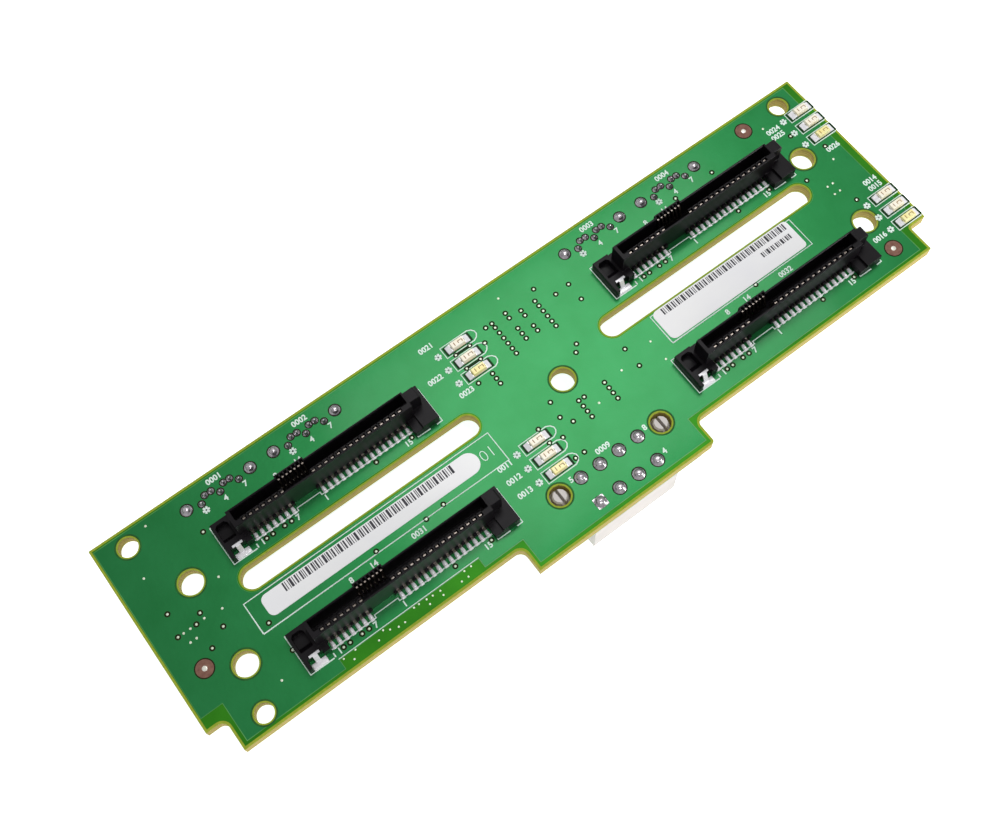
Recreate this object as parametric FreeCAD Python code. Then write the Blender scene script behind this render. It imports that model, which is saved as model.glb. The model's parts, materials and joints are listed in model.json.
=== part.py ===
# Drive backplane board: four drive sockets on the front face, four data headers
# and one power header on the rear face, status lights and two stick-on labels.
#
# Frame: the origin is on the axis of the centre screw hole, on the rear face of
# the board. X runs along the board, Y towards the edge with the data headers,
# and Z from the rear face to the front face, where the drives plug in.
import FreeCAD, Part
import math, os

os.makedirs("parts", exist_ok=True)
V = FreeCAD.Vector

# Circuit board
BOARD_T = 2.4              # laminate with copper and mask
BOARD_L = 157.95
BOARD_W = 44.05
HOLE_OFF_MIDDLE = 5.025    # centre screw hole to the right of the board's middle
HOLE_TO_BOTTOM = 20.35     # centre screw hole to the lower edge
TAB_LEFT = 24.5            # tab under the power header, left of the centre hole
TAB_RIGHT = 13.8           # and right of it
TAB_DROP = 5.1
NOTCH_LEFT_W = 3.6         # corner notches at the lower edge
NOTCH_RIGHT_W = 3.8
NOTCH_LEFT_H = 6.0
NOTCH_RIGHT_H = 5.65
CORNER_R = 0.6             # broken corners of the routed outline
ROUTER_R = 1.5             # inner corners, left by the router bit
THROUGH = 1.0              # how far a cutter runs past what it cuts
SAME_POINT = 1e-6          # points closer than this are one point

# Screw and locating holes
CENTRE_HOLE_R = 2.2
SCREW_HOLE_R = 2.2
SCREW_FROM_LEFT = 11.25    # from the board's edges
SCREW_FROM_RIGHT = 9.5
SCREW_SPAN_Y = 17.2
SCREW_MIDDLE_Y = -0.15
LOCATING_HOLE_R = 1.8
LOCATING_FROM_LEFT = 5.85
LOCATING_FROM_RIGHT = 5.4
LOCATING_FROM_TOP = 3.45
TOOLING_HOLE_R = 1.7
TOOLING_FROM_LEFT = 9.35
TOOLING_FROM_BOTTOM = 3.05

# Bays: each has two drive sockets, an air slot, two data headers and a label,
# all placed from the first contact of its lower socket
BAY_FROM_LEFT = 24.5       # left-hand edge to the left bay's first contact
BAY_FROM_RIGHT = 50.65     # right-hand edge to the right bay's first contact
SOCKET_FROM_BOTTOM = 5.48
SOCKET_ROW_PITCH = 23.44

# Air slots between the sockets of each bay
AIR_SLOT_L = 49.2
AIR_SLOT_W = 4.3
AIR_SLOT_Y = 3.0
AIR_SLOT_LEFT_X = 18.1     # middle of the slot from the bay's first contact
AIR_SLOT_RIGHT_X = 12.75

# Contacts of a drive socket, cut and bent from strip
CONTACT_PITCH = 1.27
SIGNAL_COUNT = 7
POWER_COUNT = 15
SEGMENT_PITCH = 6.35       # last signal contact to first power contact
SECOND_PITCH = 0.8         # second port, between the two segments
SECOND_COUNT = 7
STRIP_T = 0.25
CONTACT_W = 0.5
SECOND_W = 0.36
FOOT_OUT = 0.35            # foot in front of its reference point
SECOND_FOOT_OUT = 0.8
BEAM_FRONT = 1.42          # front face of the beam at its heel
NOSE_Z = 4.2
TIP_Z = 5.95
NOSE_REACH = 0.5           # how far the nose stands into the slot
NOSE_SPREAD = 1.3          # strip at the bend of the nose, in strip thicknesses
TIP_BACK = 1.88            # rear face of the tip
SECOND_BEAM_GAP = 0.2      # slot to the second port's beam at its heel

# Socket housing, measured from the first contact's reference point
BAR_FRONT = 1.05           # long bar that holds the slot
BAR_BACK = 4.4
BAR_H = 6.4
BAR_LEAD = 2.1             # bar past the first contact
BAR_TAIL = 2.25            # bar past the last contact
SLOT_FRONT = 2.2
SLOT_BACK = 4.1
SLOT_LEFT_WALL = 0.7
SLOT_RIGHT_WALL = 0.35
SLOT_FLOOR = 1.2
LEAD_IN = 0.2              # chamfer along the back of the slot's mouth
ROOM_W = 0.9               # room round one contact
ROOM_FRONT = 1.35
NOTCH_H = 1.1              # notch in the front wall, where the foot comes out
SECOND_ROOM_W = 0.5
SECOND_ROOM_GAP = 0.05     # behind the second port's beam
SECOND_NOTCH_H = 0.55
BASE_BACK = 5.6            # foot of the housing behind the bar
BASE_H = 1.5
END_FRONT = -1.75          # end blocks
END_H = 2.2
END_LEFT_W = 3.4
END_RIGHT_W = 3.4
CHEEK_FRONT = -0.7         # block between the clip and the first contact
SHELF_H = 1.6              # lower shelf beside the last contact
SHELF_BACK = 1.2
POST_W = 2.3               # guide post at the right-hand end
POST_FRONT = 1.9
POST_TOP = 6.2
POST_CHAMFER = 0.3
POCKET_W = 2.4             # guide pocket at the left-hand end
POCKET_FRONT = 1.4
POCKET_BACK = 4.9
POCKET_FLOOR = 0.6
POCKET_CORNER = 0.5
POCKET_RAMP = 1.1
BUMP_OVER = 0.45           # housing round the second port's contacts
BUMP_MARGIN = 0.5
PEG_R = 0.75               # locating pegs under the end blocks
PEG_LEN = 1.8
PEG_Y = 2.5
PEG_CLEAR = 0.05

# Hold-down clip in the left-hand end block
CLIP_T = 0.25
CLIP_FOOT_W = 2.8
CLIP_FOOT_L = 1.0
CLIP_NECK_W = 0.9
CLIP_BAR_W = 2.0
CLIP_BAR_L = 0.4
CLIP_BAR_Z = 1.7
CLIP_BAY_SIDE = 0.7        # wall left of the clip's bay
CLIP_GAP = 0.05

# Data headers on the rear face, two for each bay
DATA_FROM_TOP = 3.9
DATA_FIRST_LEFT_X = -0.67  # middle of the first header from the bay's first contact
DATA_FIRST_RIGHT_X = -1.0
DATA_GAP_LEFT = 1.27       # between the two headers of a bay
DATA_GAP_RIGHT = 1.55
DATA_COUNT = 7
DATA_GROUND_EVERY = 3      # ground pins 1, 4 and 7
DATA_ROW_NEAR = -0.6       # row of the ground pins
DATA_ROW_FAR = 0.5         # signal pins
DATA_L = 16.6
DATA_W = 5.8
DATA_H = 8.5
DATA_FLOOR = 1.9
DATA_WALL = 0.75
DATA_END_WALL = 1.7
DATA_KEY_L = 1.8           # corner that keys the plug
DATA_KEY_W = 1.2
TONGUE_L = 10.4
TONGUE_T = 1.23
TONGUE_FOOT = 1.1          # short leg of the tongue's L
TONGUE_SHORT = 0.6         # how far the tongue stays below the mouth
DATA_STRIP_T = 0.2
DATA_STRIP_W = 0.55
DATA_STRIP_SHORT = 0.4     # how far the contact stays below the tongue's tip
LOCK_SPAN = 13.0           # board locks beside the pins
LOCK_W = 1.3
LOCK_T = 0.4
LOCK_DEPTH = 1.2

# Power header on the rear face, on the board's tab
POWER_X = -2.6
POWER_COLUMNS = 4
POWER_ROWS = 2
POWER_PITCH = 4.2
POWER_ROW_PITCH = 5.5
POWER_FROM_TAB = 3.39      # tab's edge to the lower row of pins
POWER_PIN = 1.07
POWER_BODY_L = 18.6
POWER_BODY_LOW = 2.84      # lower row of pins to the outer wall
POWER_BODY_HIGH = 2.3
POWER_H = 10.8
POWER_FLOOR = 2.2
POWER_CELL = 3.5
POWER_CELL_CUT = 0.9       # cut corners that key the plug
POWER_PIN_SHORT = 2.2      # how far the pins stay below the mouth
EAR_T = 1.7
EAR_L = 4.0
EAR_W = 4.6
PEG_SPAN = 22.4            # split pegs through the board
SPLIT_PEG_LOW = 0.41       # upper row of pins to the pegs
SPLIT_PEG_R = 1.5
SPLIT_PEG_HOLE_R = 1.95
SPLIT_PEG_SLIT = 0.7
SPLIT_PEG_SOLID = 0.4      # length that isn't split
SPLIT_PEG_LIP = 0.25
SPLIT_PEG_LIP_H = 0.5

# Solder over the pins on the front face
SOLDER_H = 0.7
SOLDER_R = 0.62
LOCK_SOLDER_R = 1.1
POWER_SOLDER_R = 1.2

# Sides of the round shapes that are drawn with few faces
SOLDER_SIDES = 8
PEG_SIDES = 6              # pegs under the sockets
SPLIT_PEG_SIDES = 12

# Status lights: three in a row, at the inner and the outer edge of each bay
LIGHT_MIDDLE_X = -10.9
LIGHT_FROM_RIGHT = 2.75
LIGHT_UPPER_Y = 13.75
LIGHT_LOWER_Y = -9.75
LIGHT_PITCH = 3.2
LIGHT_COUNT = 3
LIGHT_L = 3.2
LIGHT_W = 1.6
LIGHT_BASE_T = 0.45
LENS_L = 2.0
LENS_W = 1.4
LENS_T = 0.65
LENS_DRAFT = 0.15

# Stick-on labels, placed from the bay's first contact and the centre hole
LABEL_T = 0.1
LEFT_LABEL_X = -5.6
LEFT_LABEL_Y = -4.95
LEFT_LABEL_L = 44.2
LEFT_LABEL_W = 4.2
RIGHT_LABEL_X = -2.8
RIGHT_LABEL_Y = -6.1
RIGHT_LABEL_L = 32.2
RIGHT_LABEL_W = 6.55


# Shared shapes

def block(x0, x1, y0, y1, z0, z1):
    """A rectangular block between two corners."""
    return Part.makeBox(x1 - x0, y1 - y0, z1 - z0, V(x0, y0, z0))


def join(shapes):
    """All the shapes as one solid, with no seams left between them."""
    return shapes[0].fuse(shapes[1:]).removeSplitter()


def rod(radius, x, y, z0, z1):
    """An upright round rod."""
    return Part.makeCylinder(radius, z1 - z0, V(x, y, z0))


def ring(x, y, radius, sides):
    """Corners of a regular outline about a point."""
    turns = [2 * math.pi * k / sides for k in range(sides)]
    return [(x + radius * math.cos(turn), y + radius * math.sin(turn)) for turn in turns]


def prism(points, z0, z1):
    """An upright solid with flat sides, on an outline of (x, y) points."""
    corners = [V(x, y, z0) for x, y in points]
    face = Part.Face(Part.makePolygon(corners + corners[:1]))
    return face.extrude(V(0, 0, z1 - z0))


def tapered(low, z0, high, z1):
    """A solid with flat sides between a lower and an upper outline."""
    foot = [V(x, y, z0) for x, y in low]
    top = [V(x, y, z1) for x, y in high]
    outlines = [foot, top]
    for k in range(len(foot)):
        after = (k + 1) % len(foot)
        outlines.append([foot[k], foot[after], top[after], top[k]])
    faces = [Part.Face(Part.makePolygon(line + line[:1])) for line in outlines]
    return upright(Part.Solid(Part.Shell(faces)))


def upright(solid):
    """The same solid, with its faces pointing outwards."""
    if solid.Volume < 0:
        solid.reverse()
    return solid


def oblong(x0, x1, y0, y1):
    """Corners of a rectangle."""
    return [(x0, y0), (x1, y0), (x1, y1), (x0, y1)]


def rounded_outline(corners):
    """A closed wire through corners (x, y, radius), each rounded by its radius."""
    count = len(corners)
    starts, ends, bends = [], [], []
    for i, (x, y, radius) in enumerate(corners):
        here = V(x, y, 0)
        back = (V(*corners[i - 1][:2], 0) - here).normalize()
        ahead = (V(*corners[(i + 1) % count][:2], 0) - here).normalize()
        half = back.getAngle(ahead) / 2
        inset = radius / math.tan(half)
        middle = (back + ahead).normalize() * (radius / math.sin(half) - radius)
        starts.append(here + back * inset)
        ends.append(here + ahead * inset)
        bends.append(here + middle)
    edges = []
    for i, (x, y, radius) in enumerate(corners):
        if radius > 0:
            edges.append(Part.Arc(starts[i], bends[i], ends[i]).toShape())
        after = (i + 1) % count
        if (ends[i] - starts[after]).Length > SAME_POINT:
            edges.append(Part.LineSegment(ends[i], starts[after]).toShape())
    return Part.Wire(edges)


def slab(corners, z0, z1):
    """A flat plate with rounded corners."""
    face = Part.Face(rounded_outline(corners))
    face.translate(V(0, 0, z0))
    return face.extrude(V(0, 0, z1 - z0))


def strip(profile, x, width):
    """A bent strip: a profile of (y, z) points, extruded across its width about x."""
    points = [V(x - width / 2, y, z) for y, z in profile]
    face = Part.Face(Part.makePolygon(points + points[:1]))
    return face.extrude(V(width, 0, 0))


def write(name, solids):
    """Write one node: a single solid, or a group of separate like solids."""
    shape = solids[0] if len(solids) == 1 else Part.makeCompound(solids)
    shape.exportStep("parts/%s.step" % name)


# Places that the board and the pieces share

def board_edges():
    """Left, right, lower and upper edge of the board, without its tab."""
    left = -BOARD_L / 2 - HOLE_OFF_MIDDLE
    return left, left + BOARD_L, -HOLE_TO_BOTTOM, BOARD_W - HOLE_TO_BOTTOM


def bays():
    """First contact's place across the board, for each bay."""
    left, right, bottom, top = board_edges()
    return {"left": left + BAY_FROM_LEFT, "right": right - BAY_FROM_RIGHT}


def sockets():
    """Name and place of each drive socket."""
    low = board_edges()[2] + SOCKET_FROM_BOTTOM
    places = []
    for row, y in (("lower", low), ("upper", low + SOCKET_ROW_PITCH)):
        for bay, x in bays().items():
            places.append(("%s_%s" % (row, bay), x, y))
    return places


def signal_xs():
    return [k * CONTACT_PITCH for k in range(SIGNAL_COUNT)]


def power_xs():
    first = (SIGNAL_COUNT - 1) * CONTACT_PITCH + SEGMENT_PITCH
    return [first + k * CONTACT_PITCH for k in range(POWER_COUNT)]


def second_xs():
    middle = (signal_xs()[-1] + power_xs()[0]) / 2
    first = middle - (SECOND_COUNT - 1) * SECOND_PITCH / 2
    return [first + k * SECOND_PITCH for k in range(SECOND_COUNT)]


def bar_ends():
    return -BAR_LEAD, power_xs()[-1] + BAR_TAIL


def socket_pegs():
    left, right = bar_ends()
    return [(left - END_LEFT_W / 2, PEG_Y), (right + END_RIGHT_W / 2, PEG_Y)]


def data_headers():
    """Middle of each data header."""
    y = board_edges()[3] - DATA_FROM_TOP
    left = bays()["left"] + DATA_FIRST_LEFT_X
    right = bays()["right"] + DATA_FIRST_RIGHT_X
    xs = (left, left + DATA_L + DATA_GAP_LEFT, right, right + DATA_L + DATA_GAP_RIGHT)
    return [(x, y) for x in xs]


def data_pins():
    """Place of each pin from the middle of its header."""
    first = -(DATA_COUNT - 1) / 2 * CONTACT_PITCH
    pins = []
    for k in range(DATA_COUNT):
        row = DATA_ROW_FAR if k % DATA_GROUND_EVERY else DATA_ROW_NEAR
        pins.append((first + k * CONTACT_PITCH, row))
    return pins


def data_locks():
    """Place of each board lock from the middle of its header."""
    return [-LOCK_SPAN / 2, LOCK_SPAN / 2]


def power_rows():
    low = board_edges()[2] - TAB_DROP + POWER_FROM_TAB
    return [low + k * POWER_ROW_PITCH for k in range(POWER_ROWS)]


def power_pins():
    """Place of each pin of the power header on the board."""
    first = POWER_X - (POWER_COLUMNS - 1) / 2 * POWER_PITCH
    return [(first + k * POWER_PITCH, y) for y in power_rows() for k in range(POWER_COLUMNS)]


def split_pegs():
    y = power_rows()[-1] - SPLIT_PEG_LOW
    return [(POWER_X - PEG_SPAN / 2, y), (POWER_X + PEG_SPAN / 2, y)]


# Circuit board

def circuit_board():
    left, right, bottom, top = board_edges()
    tab_bottom = bottom - TAB_DROP
    notch_left = left + NOTCH_LEFT_W
    notch_right = right - NOTCH_RIGHT_W
    ledge_left = bottom + NOTCH_LEFT_H
    ledge_right = bottom + NOTCH_RIGHT_H
    plate = slab([
        (left, top, 0),
        (left, ledge_left, 0),
        (notch_left, ledge_left, ROUTER_R),
        (notch_left, bottom, 0),
        (-TAB_LEFT, bottom, ROUTER_R),
        (-TAB_LEFT, tab_bottom, 0),
        (TAB_RIGHT, tab_bottom, CORNER_R),
        (TAB_RIGHT, bottom, ROUTER_R),
        (notch_right, bottom, 0),
        (notch_right, ledge_right, CORNER_R),
        (right, ledge_right, 0),
        (right, top, 0)], 0, BOARD_T)
    cuts = [air_slot(bays()["left"] + AIR_SLOT_LEFT_X),
            air_slot(bays()["right"] + AIR_SLOT_RIGHT_X)]
    cuts += [rod(radius, x, y, -THROUGH, BOARD_T + THROUGH) for radius, x, y in round_holes()]
    cuts += [prism(points, -THROUGH, BOARD_T + THROUGH) for points in peg_holes()]
    return plate.cut(cuts + pin_holes())


def round_holes():
    """Radius and place of every screw, locating and tooling hole."""
    left, right, bottom, top = board_edges()
    holes = [(CENTRE_HOLE_R, 0, 0),
             (TOOLING_HOLE_R, left + TOOLING_FROM_LEFT, bottom + TOOLING_FROM_BOTTOM)]
    for x in (left + LOCATING_FROM_LEFT, right - LOCATING_FROM_RIGHT):
        holes.append((LOCATING_HOLE_R, x, top - LOCATING_FROM_TOP))
    for x in (left + SCREW_FROM_LEFT, right - SCREW_FROM_RIGHT):
        for side in (-1, 1):
            holes.append((SCREW_HOLE_R, x, SCREW_MIDDLE_Y + side * SCREW_SPAN_Y / 2))
    return holes


def peg_holes():
    """Outlines of the holes that take the pegs of the sockets and the power header."""
    holes = [ring(x, y, SPLIT_PEG_HOLE_R, SPLIT_PEG_SIDES) for x, y in split_pegs()]
    for name, x0, y0 in sockets():
        for x, y in socket_pegs():
            holes.append(ring(x0 + x, y0 + y, PEG_R + PEG_CLEAR, PEG_SIDES))
    return holes


def pin_holes():
    """Cutters for the holes that pins and solder fill, each drawn as its pin's shape."""
    cuts = [power_pin(x, y) for x, y in power_pins()]
    for x0, y0 in data_headers():
        pins = [data_contact(x, row) for x, row in data_pins()]
        pins += [board_lock(x, BOARD_T) for x in data_locks()]
        cuts += [pin.translated(V(x0, y0, 0)) for pin in pins]
    return cuts


def air_slot(x):
    """Cutter for one air slot, with full round ends."""
    half = AIR_SLOT_L / 2
    radius = AIR_SLOT_W / 2
    corners = oblong(x - half, x + half, AIR_SLOT_Y - radius, AIR_SLOT_Y + radius)
    return slab([(a, b, radius) for a, b in corners], -THROUGH, BOARD_T + THROUGH)


# Drive socket, built about its first contact with the board's face at z = 0

def socket_housing():
    left, right = bar_ends()
    cuts = mating_slot(left, right) + clip_bay(left) + contact_rooms()
    cuts.append(guide_pocket(left))
    return join(housing_walls(left, right)).cut(cuts)


def housing_walls(left, right):
    """Bar, base, end blocks, guide post and pegs, before the cuts."""
    end_left = left - END_LEFT_W
    end_right = right + END_RIGHT_W
    first_room = -CONTACT_PITCH / 2
    last_room = power_xs()[-1] + CONTACT_PITCH / 2
    bump_left = second_xs()[0] - BUMP_MARGIN
    bump_right = second_xs()[-1] + BUMP_MARGIN
    walls = [
        block(left, right, BAR_FRONT, BAR_BACK, 0, BAR_H),
        block(bump_left, bump_right, BAR_BACK, BAR_BACK + BUMP_OVER, 0, BAR_H),
        block(left, bump_left, BAR_BACK, BASE_BACK, 0, BASE_H),
        block(bump_right, right, BAR_BACK, BASE_BACK, 0, BASE_H),
        block(end_left, left, END_FRONT, BASE_BACK, 0, END_H),
        block(left, first_room, CHEEK_FRONT, BAR_FRONT, 0, END_H),
        block(right, end_right, END_FRONT, BASE_BACK, 0, END_H),
        block(last_room, right, END_FRONT, SHELF_BACK, 0, SHELF_H),
        guide_post(right)]
    for x, y in socket_pegs():
        walls.append(prism(ring(x, y, PEG_R, PEG_SIDES), -PEG_LEN, 0))
    return walls


def guide_post(right):
    """Post beside the slot that guides the drive's plug, with a chamfered top."""
    post = block(right, right + POST_W, POST_FRONT, SLOT_BACK, 0, POST_TOP)
    top = [e for e in post.Edges if min(v.Z for v in e.Vertexes) > POST_TOP - POST_CHAMFER]
    outer = [e for e in top if min(v.X for v in e.Vertexes) > right + POST_W - POST_CHAMFER]
    return post.makeChamfer(POST_CHAMFER, outer)


def mating_slot(left, right):
    """Cutters for the slot that takes the drive's plug, and the chamfer along its back."""
    x0 = left + SLOT_LEFT_WALL
    x1 = right - SLOT_RIGHT_WALL
    lead_in = strip([(SLOT_BACK, BAR_H - LEAD_IN), (SLOT_BACK + LEAD_IN, BAR_H),
                     (SLOT_BACK, BAR_H)], (x0 + x1) / 2, x1 - x0)
    return [block(x0, x1, SLOT_FRONT, SLOT_BACK, SLOT_FLOOR, BAR_H), lead_in]


def guide_pocket(left):
    """Cutter for the pocket in the left-hand block, with a ramp at its front."""
    x1 = left - (END_LEFT_W - POCKET_W) / 2
    x0 = x1 - POCKET_W
    ramp_end = POCKET_FRONT + POCKET_RAMP
    ramp = strip([(POCKET_FRONT, END_H), (ramp_end, POCKET_FLOOR), (ramp_end, END_H)],
                 (x0 + x1) / 2, POCKET_W)
    corner = POCKET_CORNER
    pocket = prism([(x0, ramp_end), (x1, ramp_end), (x1, POCKET_BACK - corner),
                    (x1 - corner, POCKET_BACK), (x0 + corner, POCKET_BACK),
                    (x0, POCKET_BACK - corner)], POCKET_FLOOR, END_H)
    return join([pocket, ramp])


def clip_bay(left):
    """Cutters for the bay of the hold-down clip and the notch for its bar."""
    x = clip_x(left)
    half = CLIP_FOOT_W / 2 + CLIP_GAP
    bar = CLIP_BAR_W / 2 + CLIP_GAP
    notch_back = CLIP_BAR_L + CLIP_GAP
    return [block(x - half, x + half, END_FRONT, -CLIP_GAP, 0, END_H),
            block(x - bar, x + bar, -CLIP_GAP, notch_back, CLIP_BAR_Z, END_H)]


def clip_x(left):
    return left - END_LEFT_W + CLIP_BAY_SIDE + CLIP_FOOT_W / 2 + CLIP_GAP


def contact_rooms():
    """Cutters round every contact, open at its foot, at its tip and to the slot."""
    main = [(BAR_FRONT, 0), (SLOT_FRONT, 0), (SLOT_FRONT, BAR_H), (ROOM_FRONT, BAR_H),
            (ROOM_FRONT, NOTCH_H), (BAR_FRONT, NOTCH_H)]
    outer = BAR_BACK + BUMP_OVER
    back = SLOT_BACK + SECOND_BEAM_GAP + STRIP_T + SECOND_ROOM_GAP
    second = [(SLOT_BACK, 0), (outer, 0), (outer, SECOND_NOTCH_H), (back, SECOND_NOTCH_H),
              (back, BAR_H), (SLOT_BACK, BAR_H)]
    cuts = [strip(main, x, ROOM_W) for x in signal_xs() + power_xs()]
    return cuts + [strip(second, x, SECOND_ROOM_W) for x in second_xs()]


def contact_profile():
    """Side view of a main contact: foot, sprung beam, nose in the slot, and tip."""
    t = STRIP_T
    nose = SLOT_FRONT + NOSE_REACH
    return [(-FOOT_OUT, 0), (BEAM_FRONT + t, 0), (nose, NOSE_Z), (TIP_BACK, TIP_Z),
            (TIP_BACK - t, TIP_Z), (nose - NOSE_SPREAD * t, NOSE_Z), (BEAM_FRONT, t),
            (-FOOT_OUT, t)]


def second_profile():
    """Side view of a second-port contact, facing the main ones across the slot."""
    t = STRIP_T
    beam = SLOT_BACK + SECOND_BEAM_GAP
    nose = SLOT_BACK - NOSE_REACH
    heel = BAR_BACK + BUMP_OVER + SECOND_FOOT_OUT
    return [(heel, 0), (beam, 0), (nose, NOSE_Z), (beam, TIP_Z), (beam + t, TIP_Z),
            (nose + NOSE_SPREAD * t, NOSE_Z), (beam + t, t), (heel, t)]


def hold_down_clip():
    """Strip clip: wide solder foot, sloping neck and a bar hooked over the block."""
    left, right = bar_ends()
    x = clip_x(left)
    t = CLIP_T
    foot_end = END_FRONT + CLIP_FOOT_L
    top = CLIP_BAR_Z + t
    foot = strip([(END_FRONT, 0), (foot_end, 0), (foot_end, t), (END_FRONT, t)],
                 x, CLIP_FOOT_W)
    neck = strip([(foot_end - t, t / 2), (foot_end, 0), (-2 * CLIP_GAP, CLIP_BAR_Z),
                  (CLIP_BAR_L / 2, CLIP_BAR_Z), (CLIP_BAR_L / 2, top), (-t, top),
                  (foot_end - t, t)], x, CLIP_NECK_W)
    bar = strip([(0, CLIP_BAR_Z), (CLIP_BAR_L, CLIP_BAR_Z), (CLIP_BAR_L, top), (0, top)],
                x, CLIP_BAR_W)
    return join([foot, neck, bar])


def build_sockets():
    profile = contact_profile()
    pieces = {
        "housing": [socket_housing()],
        "signal_contacts": [strip(profile, x, CONTACT_W) for x in signal_xs()],
        "power_contacts": [strip(profile, x, CONTACT_W) for x in power_xs()],
        "second_port_contacts": [strip(second_profile(), x, SECOND_W) for x in second_xs()],
        "hold_down_clip": [hold_down_clip()]}
    for name, x0, y0 in sockets():
        for piece, solids in pieces.items():
            moved = [s.translated(V(x0, y0, BOARD_T)) for s in solids]
            write("%s_socket_%s" % (name, piece), moved)


# Data header, built about its middle with the board's rear face at z = 0

def data_housing():
    """Shell with a keyed mouth, and the L-shaped tongue that carries the contacts."""
    half = DATA_L / 2 - DATA_END_WALL
    side = DATA_W / 2 - DATA_WALL
    shell = block(-DATA_L / 2, DATA_L / 2, -DATA_W / 2, DATA_W / 2, -DATA_H, 0)
    mouth = prism([(-half, -side), (half, -side), (half, side - DATA_KEY_W),
                   (half - DATA_KEY_L, side - DATA_KEY_W), (half - DATA_KEY_L, side),
                   (-half, side)], -DATA_H, -DATA_FLOOR)
    near = tongue_face()
    far = near + TONGUE_T
    end = TONGUE_L / 2
    tongue = prism([(-end, near), (end, near), (end, far), (TONGUE_T - end, far),
                    (TONGUE_T - end, far + TONGUE_FOOT), (-end, far + TONGUE_FOOT)],
                   TONGUE_SHORT - DATA_H, -DATA_FLOOR)
    cuts = [contact_hole(x, row) for x, row in data_pins()]
    cuts += [board_lock(x, 0) for x in data_locks()]
    return join([shell.cut(mouth), tongue]).cut(cuts)


def tongue_face():
    """The tongue's face that carries the contacts, in line with the near row of pins."""
    return DATA_ROW_NEAR + DATA_STRIP_T / 2


def contact_hole(x, row):
    """Cutter for the opening in the housing's floor that one contact passes."""
    t = DATA_STRIP_T
    return block(x - DATA_STRIP_W / 2, x + DATA_STRIP_W / 2, tongue_face() - t, row + t / 2,
                 -DATA_FLOOR, 0)


def data_contact(x, row):
    """Straight pin in the near row; in the far row it steps back inside the floor."""
    t = DATA_STRIP_T
    face = tongue_face()
    tip = TONGUE_SHORT + DATA_STRIP_SHORT - DATA_H
    step = -DATA_FLOOR / 2
    if row < face:
        profile = [(face, tip), (face, BOARD_T), (face - t, BOARD_T), (face - t, tip)]
    else:
        profile = [(face, tip), (face, step), (row + t / 2, step), (row + t / 2, BOARD_T),
                   (row - t / 2, BOARD_T), (row - t / 2, step + t), (face - t, step + t),
                   (face - t, tip)]
    return strip(profile, x, DATA_STRIP_W)


def board_lock(x, top):
    """Metal lock that holds the header to the board until it is soldered."""
    return block(x - LOCK_W / 2, x + LOCK_W / 2, -LOCK_T / 2, LOCK_T / 2, -LOCK_DEPTH, top)


def build_data_headers():
    pieces = {
        "housing": [data_housing()],
        "contacts": [data_contact(x, row) for x, row in data_pins()],
        "board_locks": [board_lock(x, BOARD_T) for x in data_locks()]}
    for k, (x0, y0) in enumerate(data_headers()):
        for piece, solids in pieces.items():
            moved = [s.translated(V(x0, y0, 0)) for s in solids]
            write("data_header_%d_%s" % (k + 1, piece), moved)


# Power header, built in place under the board

def power_housing():
    x0 = POWER_X - POWER_BODY_L / 2
    x1 = POWER_X + POWER_BODY_L / 2
    y0 = power_rows()[0] - POWER_BODY_LOW
    y1 = power_rows()[-1] + POWER_BODY_HIGH
    ear_middle = split_pegs()[0][1]
    body = [block(x0, x1, y0, y1, -POWER_H, 0),
            block(x0 - EAR_L, x1 + EAR_L, ear_middle - EAR_W / 2, ear_middle + EAR_W / 2,
                  -EAR_T, 0)]
    body += [split_peg(x, y) for x, y in split_pegs()]
    cuts = []
    half = POWER_PIN / 2
    for k, (x, y) in enumerate(power_pins()):
        cuts.append(power_cell(x, y, k))
        cuts.append(block(x - half, x + half, y - half, y + half, -POWER_FLOOR, 0))
    return join(body).cut(cuts)


def power_cell(x, y, k):
    """Cutter for one cell: every other one has two corners cut off to key the plug."""
    half = POWER_CELL / 2
    row, column = divmod(k, POWER_COLUMNS)
    if (row + column) % 2:
        return block(x - half, x + half, y - half, y + half, -POWER_H, -POWER_FLOOR)
    cut = POWER_CELL_CUT
    out = 1 if row else -1
    points = [(x - half, y - out * half), (x + half, y - out * half),
              (x + half, y + out * (half - cut)), (x + half - cut, y + out * half),
              (x - half + cut, y + out * half), (x - half, y + out * (half - cut))]
    return prism(points, -POWER_H, -POWER_FLOOR)


def split_peg(x, y):
    """Split plastic peg that snaps into the board, with a lip over its front end."""
    lip = SPLIT_PEG_LIP
    shank = prism(ring(x, y, SPLIT_PEG_R, SPLIT_PEG_SIDES), 0, BOARD_T)
    head = tapered(ring(x, y, SPLIT_PEG_R + lip, SPLIT_PEG_SIDES), BOARD_T - SPLIT_PEG_LIP_H,
                   ring(x, y, SPLIT_PEG_R - lip, SPLIT_PEG_SIDES), BOARD_T)
    reach = SPLIT_PEG_R + 2 * lip
    slit = block(x - SPLIT_PEG_SLIT / 2, x + SPLIT_PEG_SLIT / 2, y - reach, y + reach,
                 SPLIT_PEG_SOLID, BOARD_T)
    return join([shank, head]).cut(slit)


def power_pin(x, y):
    half = POWER_PIN / 2
    return block(x - half, x + half, y - half, y + half, POWER_PIN_SHORT - POWER_H, BOARD_T)


def build_power_header():
    write("power_header_housing", [power_housing()])
    write("power_header_pins", [power_pin(x, y) for x, y in power_pins()])


# Solder over the pins on the front face

def solder(x, y, radius):
    """A low cone of solder that has run up round a pin's end."""
    tip = V(x, y, BOARD_T + SOLDER_H)
    foot = [V(a, b, BOARD_T) for a, b in ring(x, y, radius, SOLDER_SIDES)]
    foot.append(foot[0])
    sides = [Part.makePolygon([a, b, tip, a]) for a, b in zip(foot, foot[1:])]
    faces = [Part.Face(wire) for wire in sides + [Part.makePolygon(foot)]]
    return upright(Part.Solid(Part.Shell(faces)))


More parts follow.
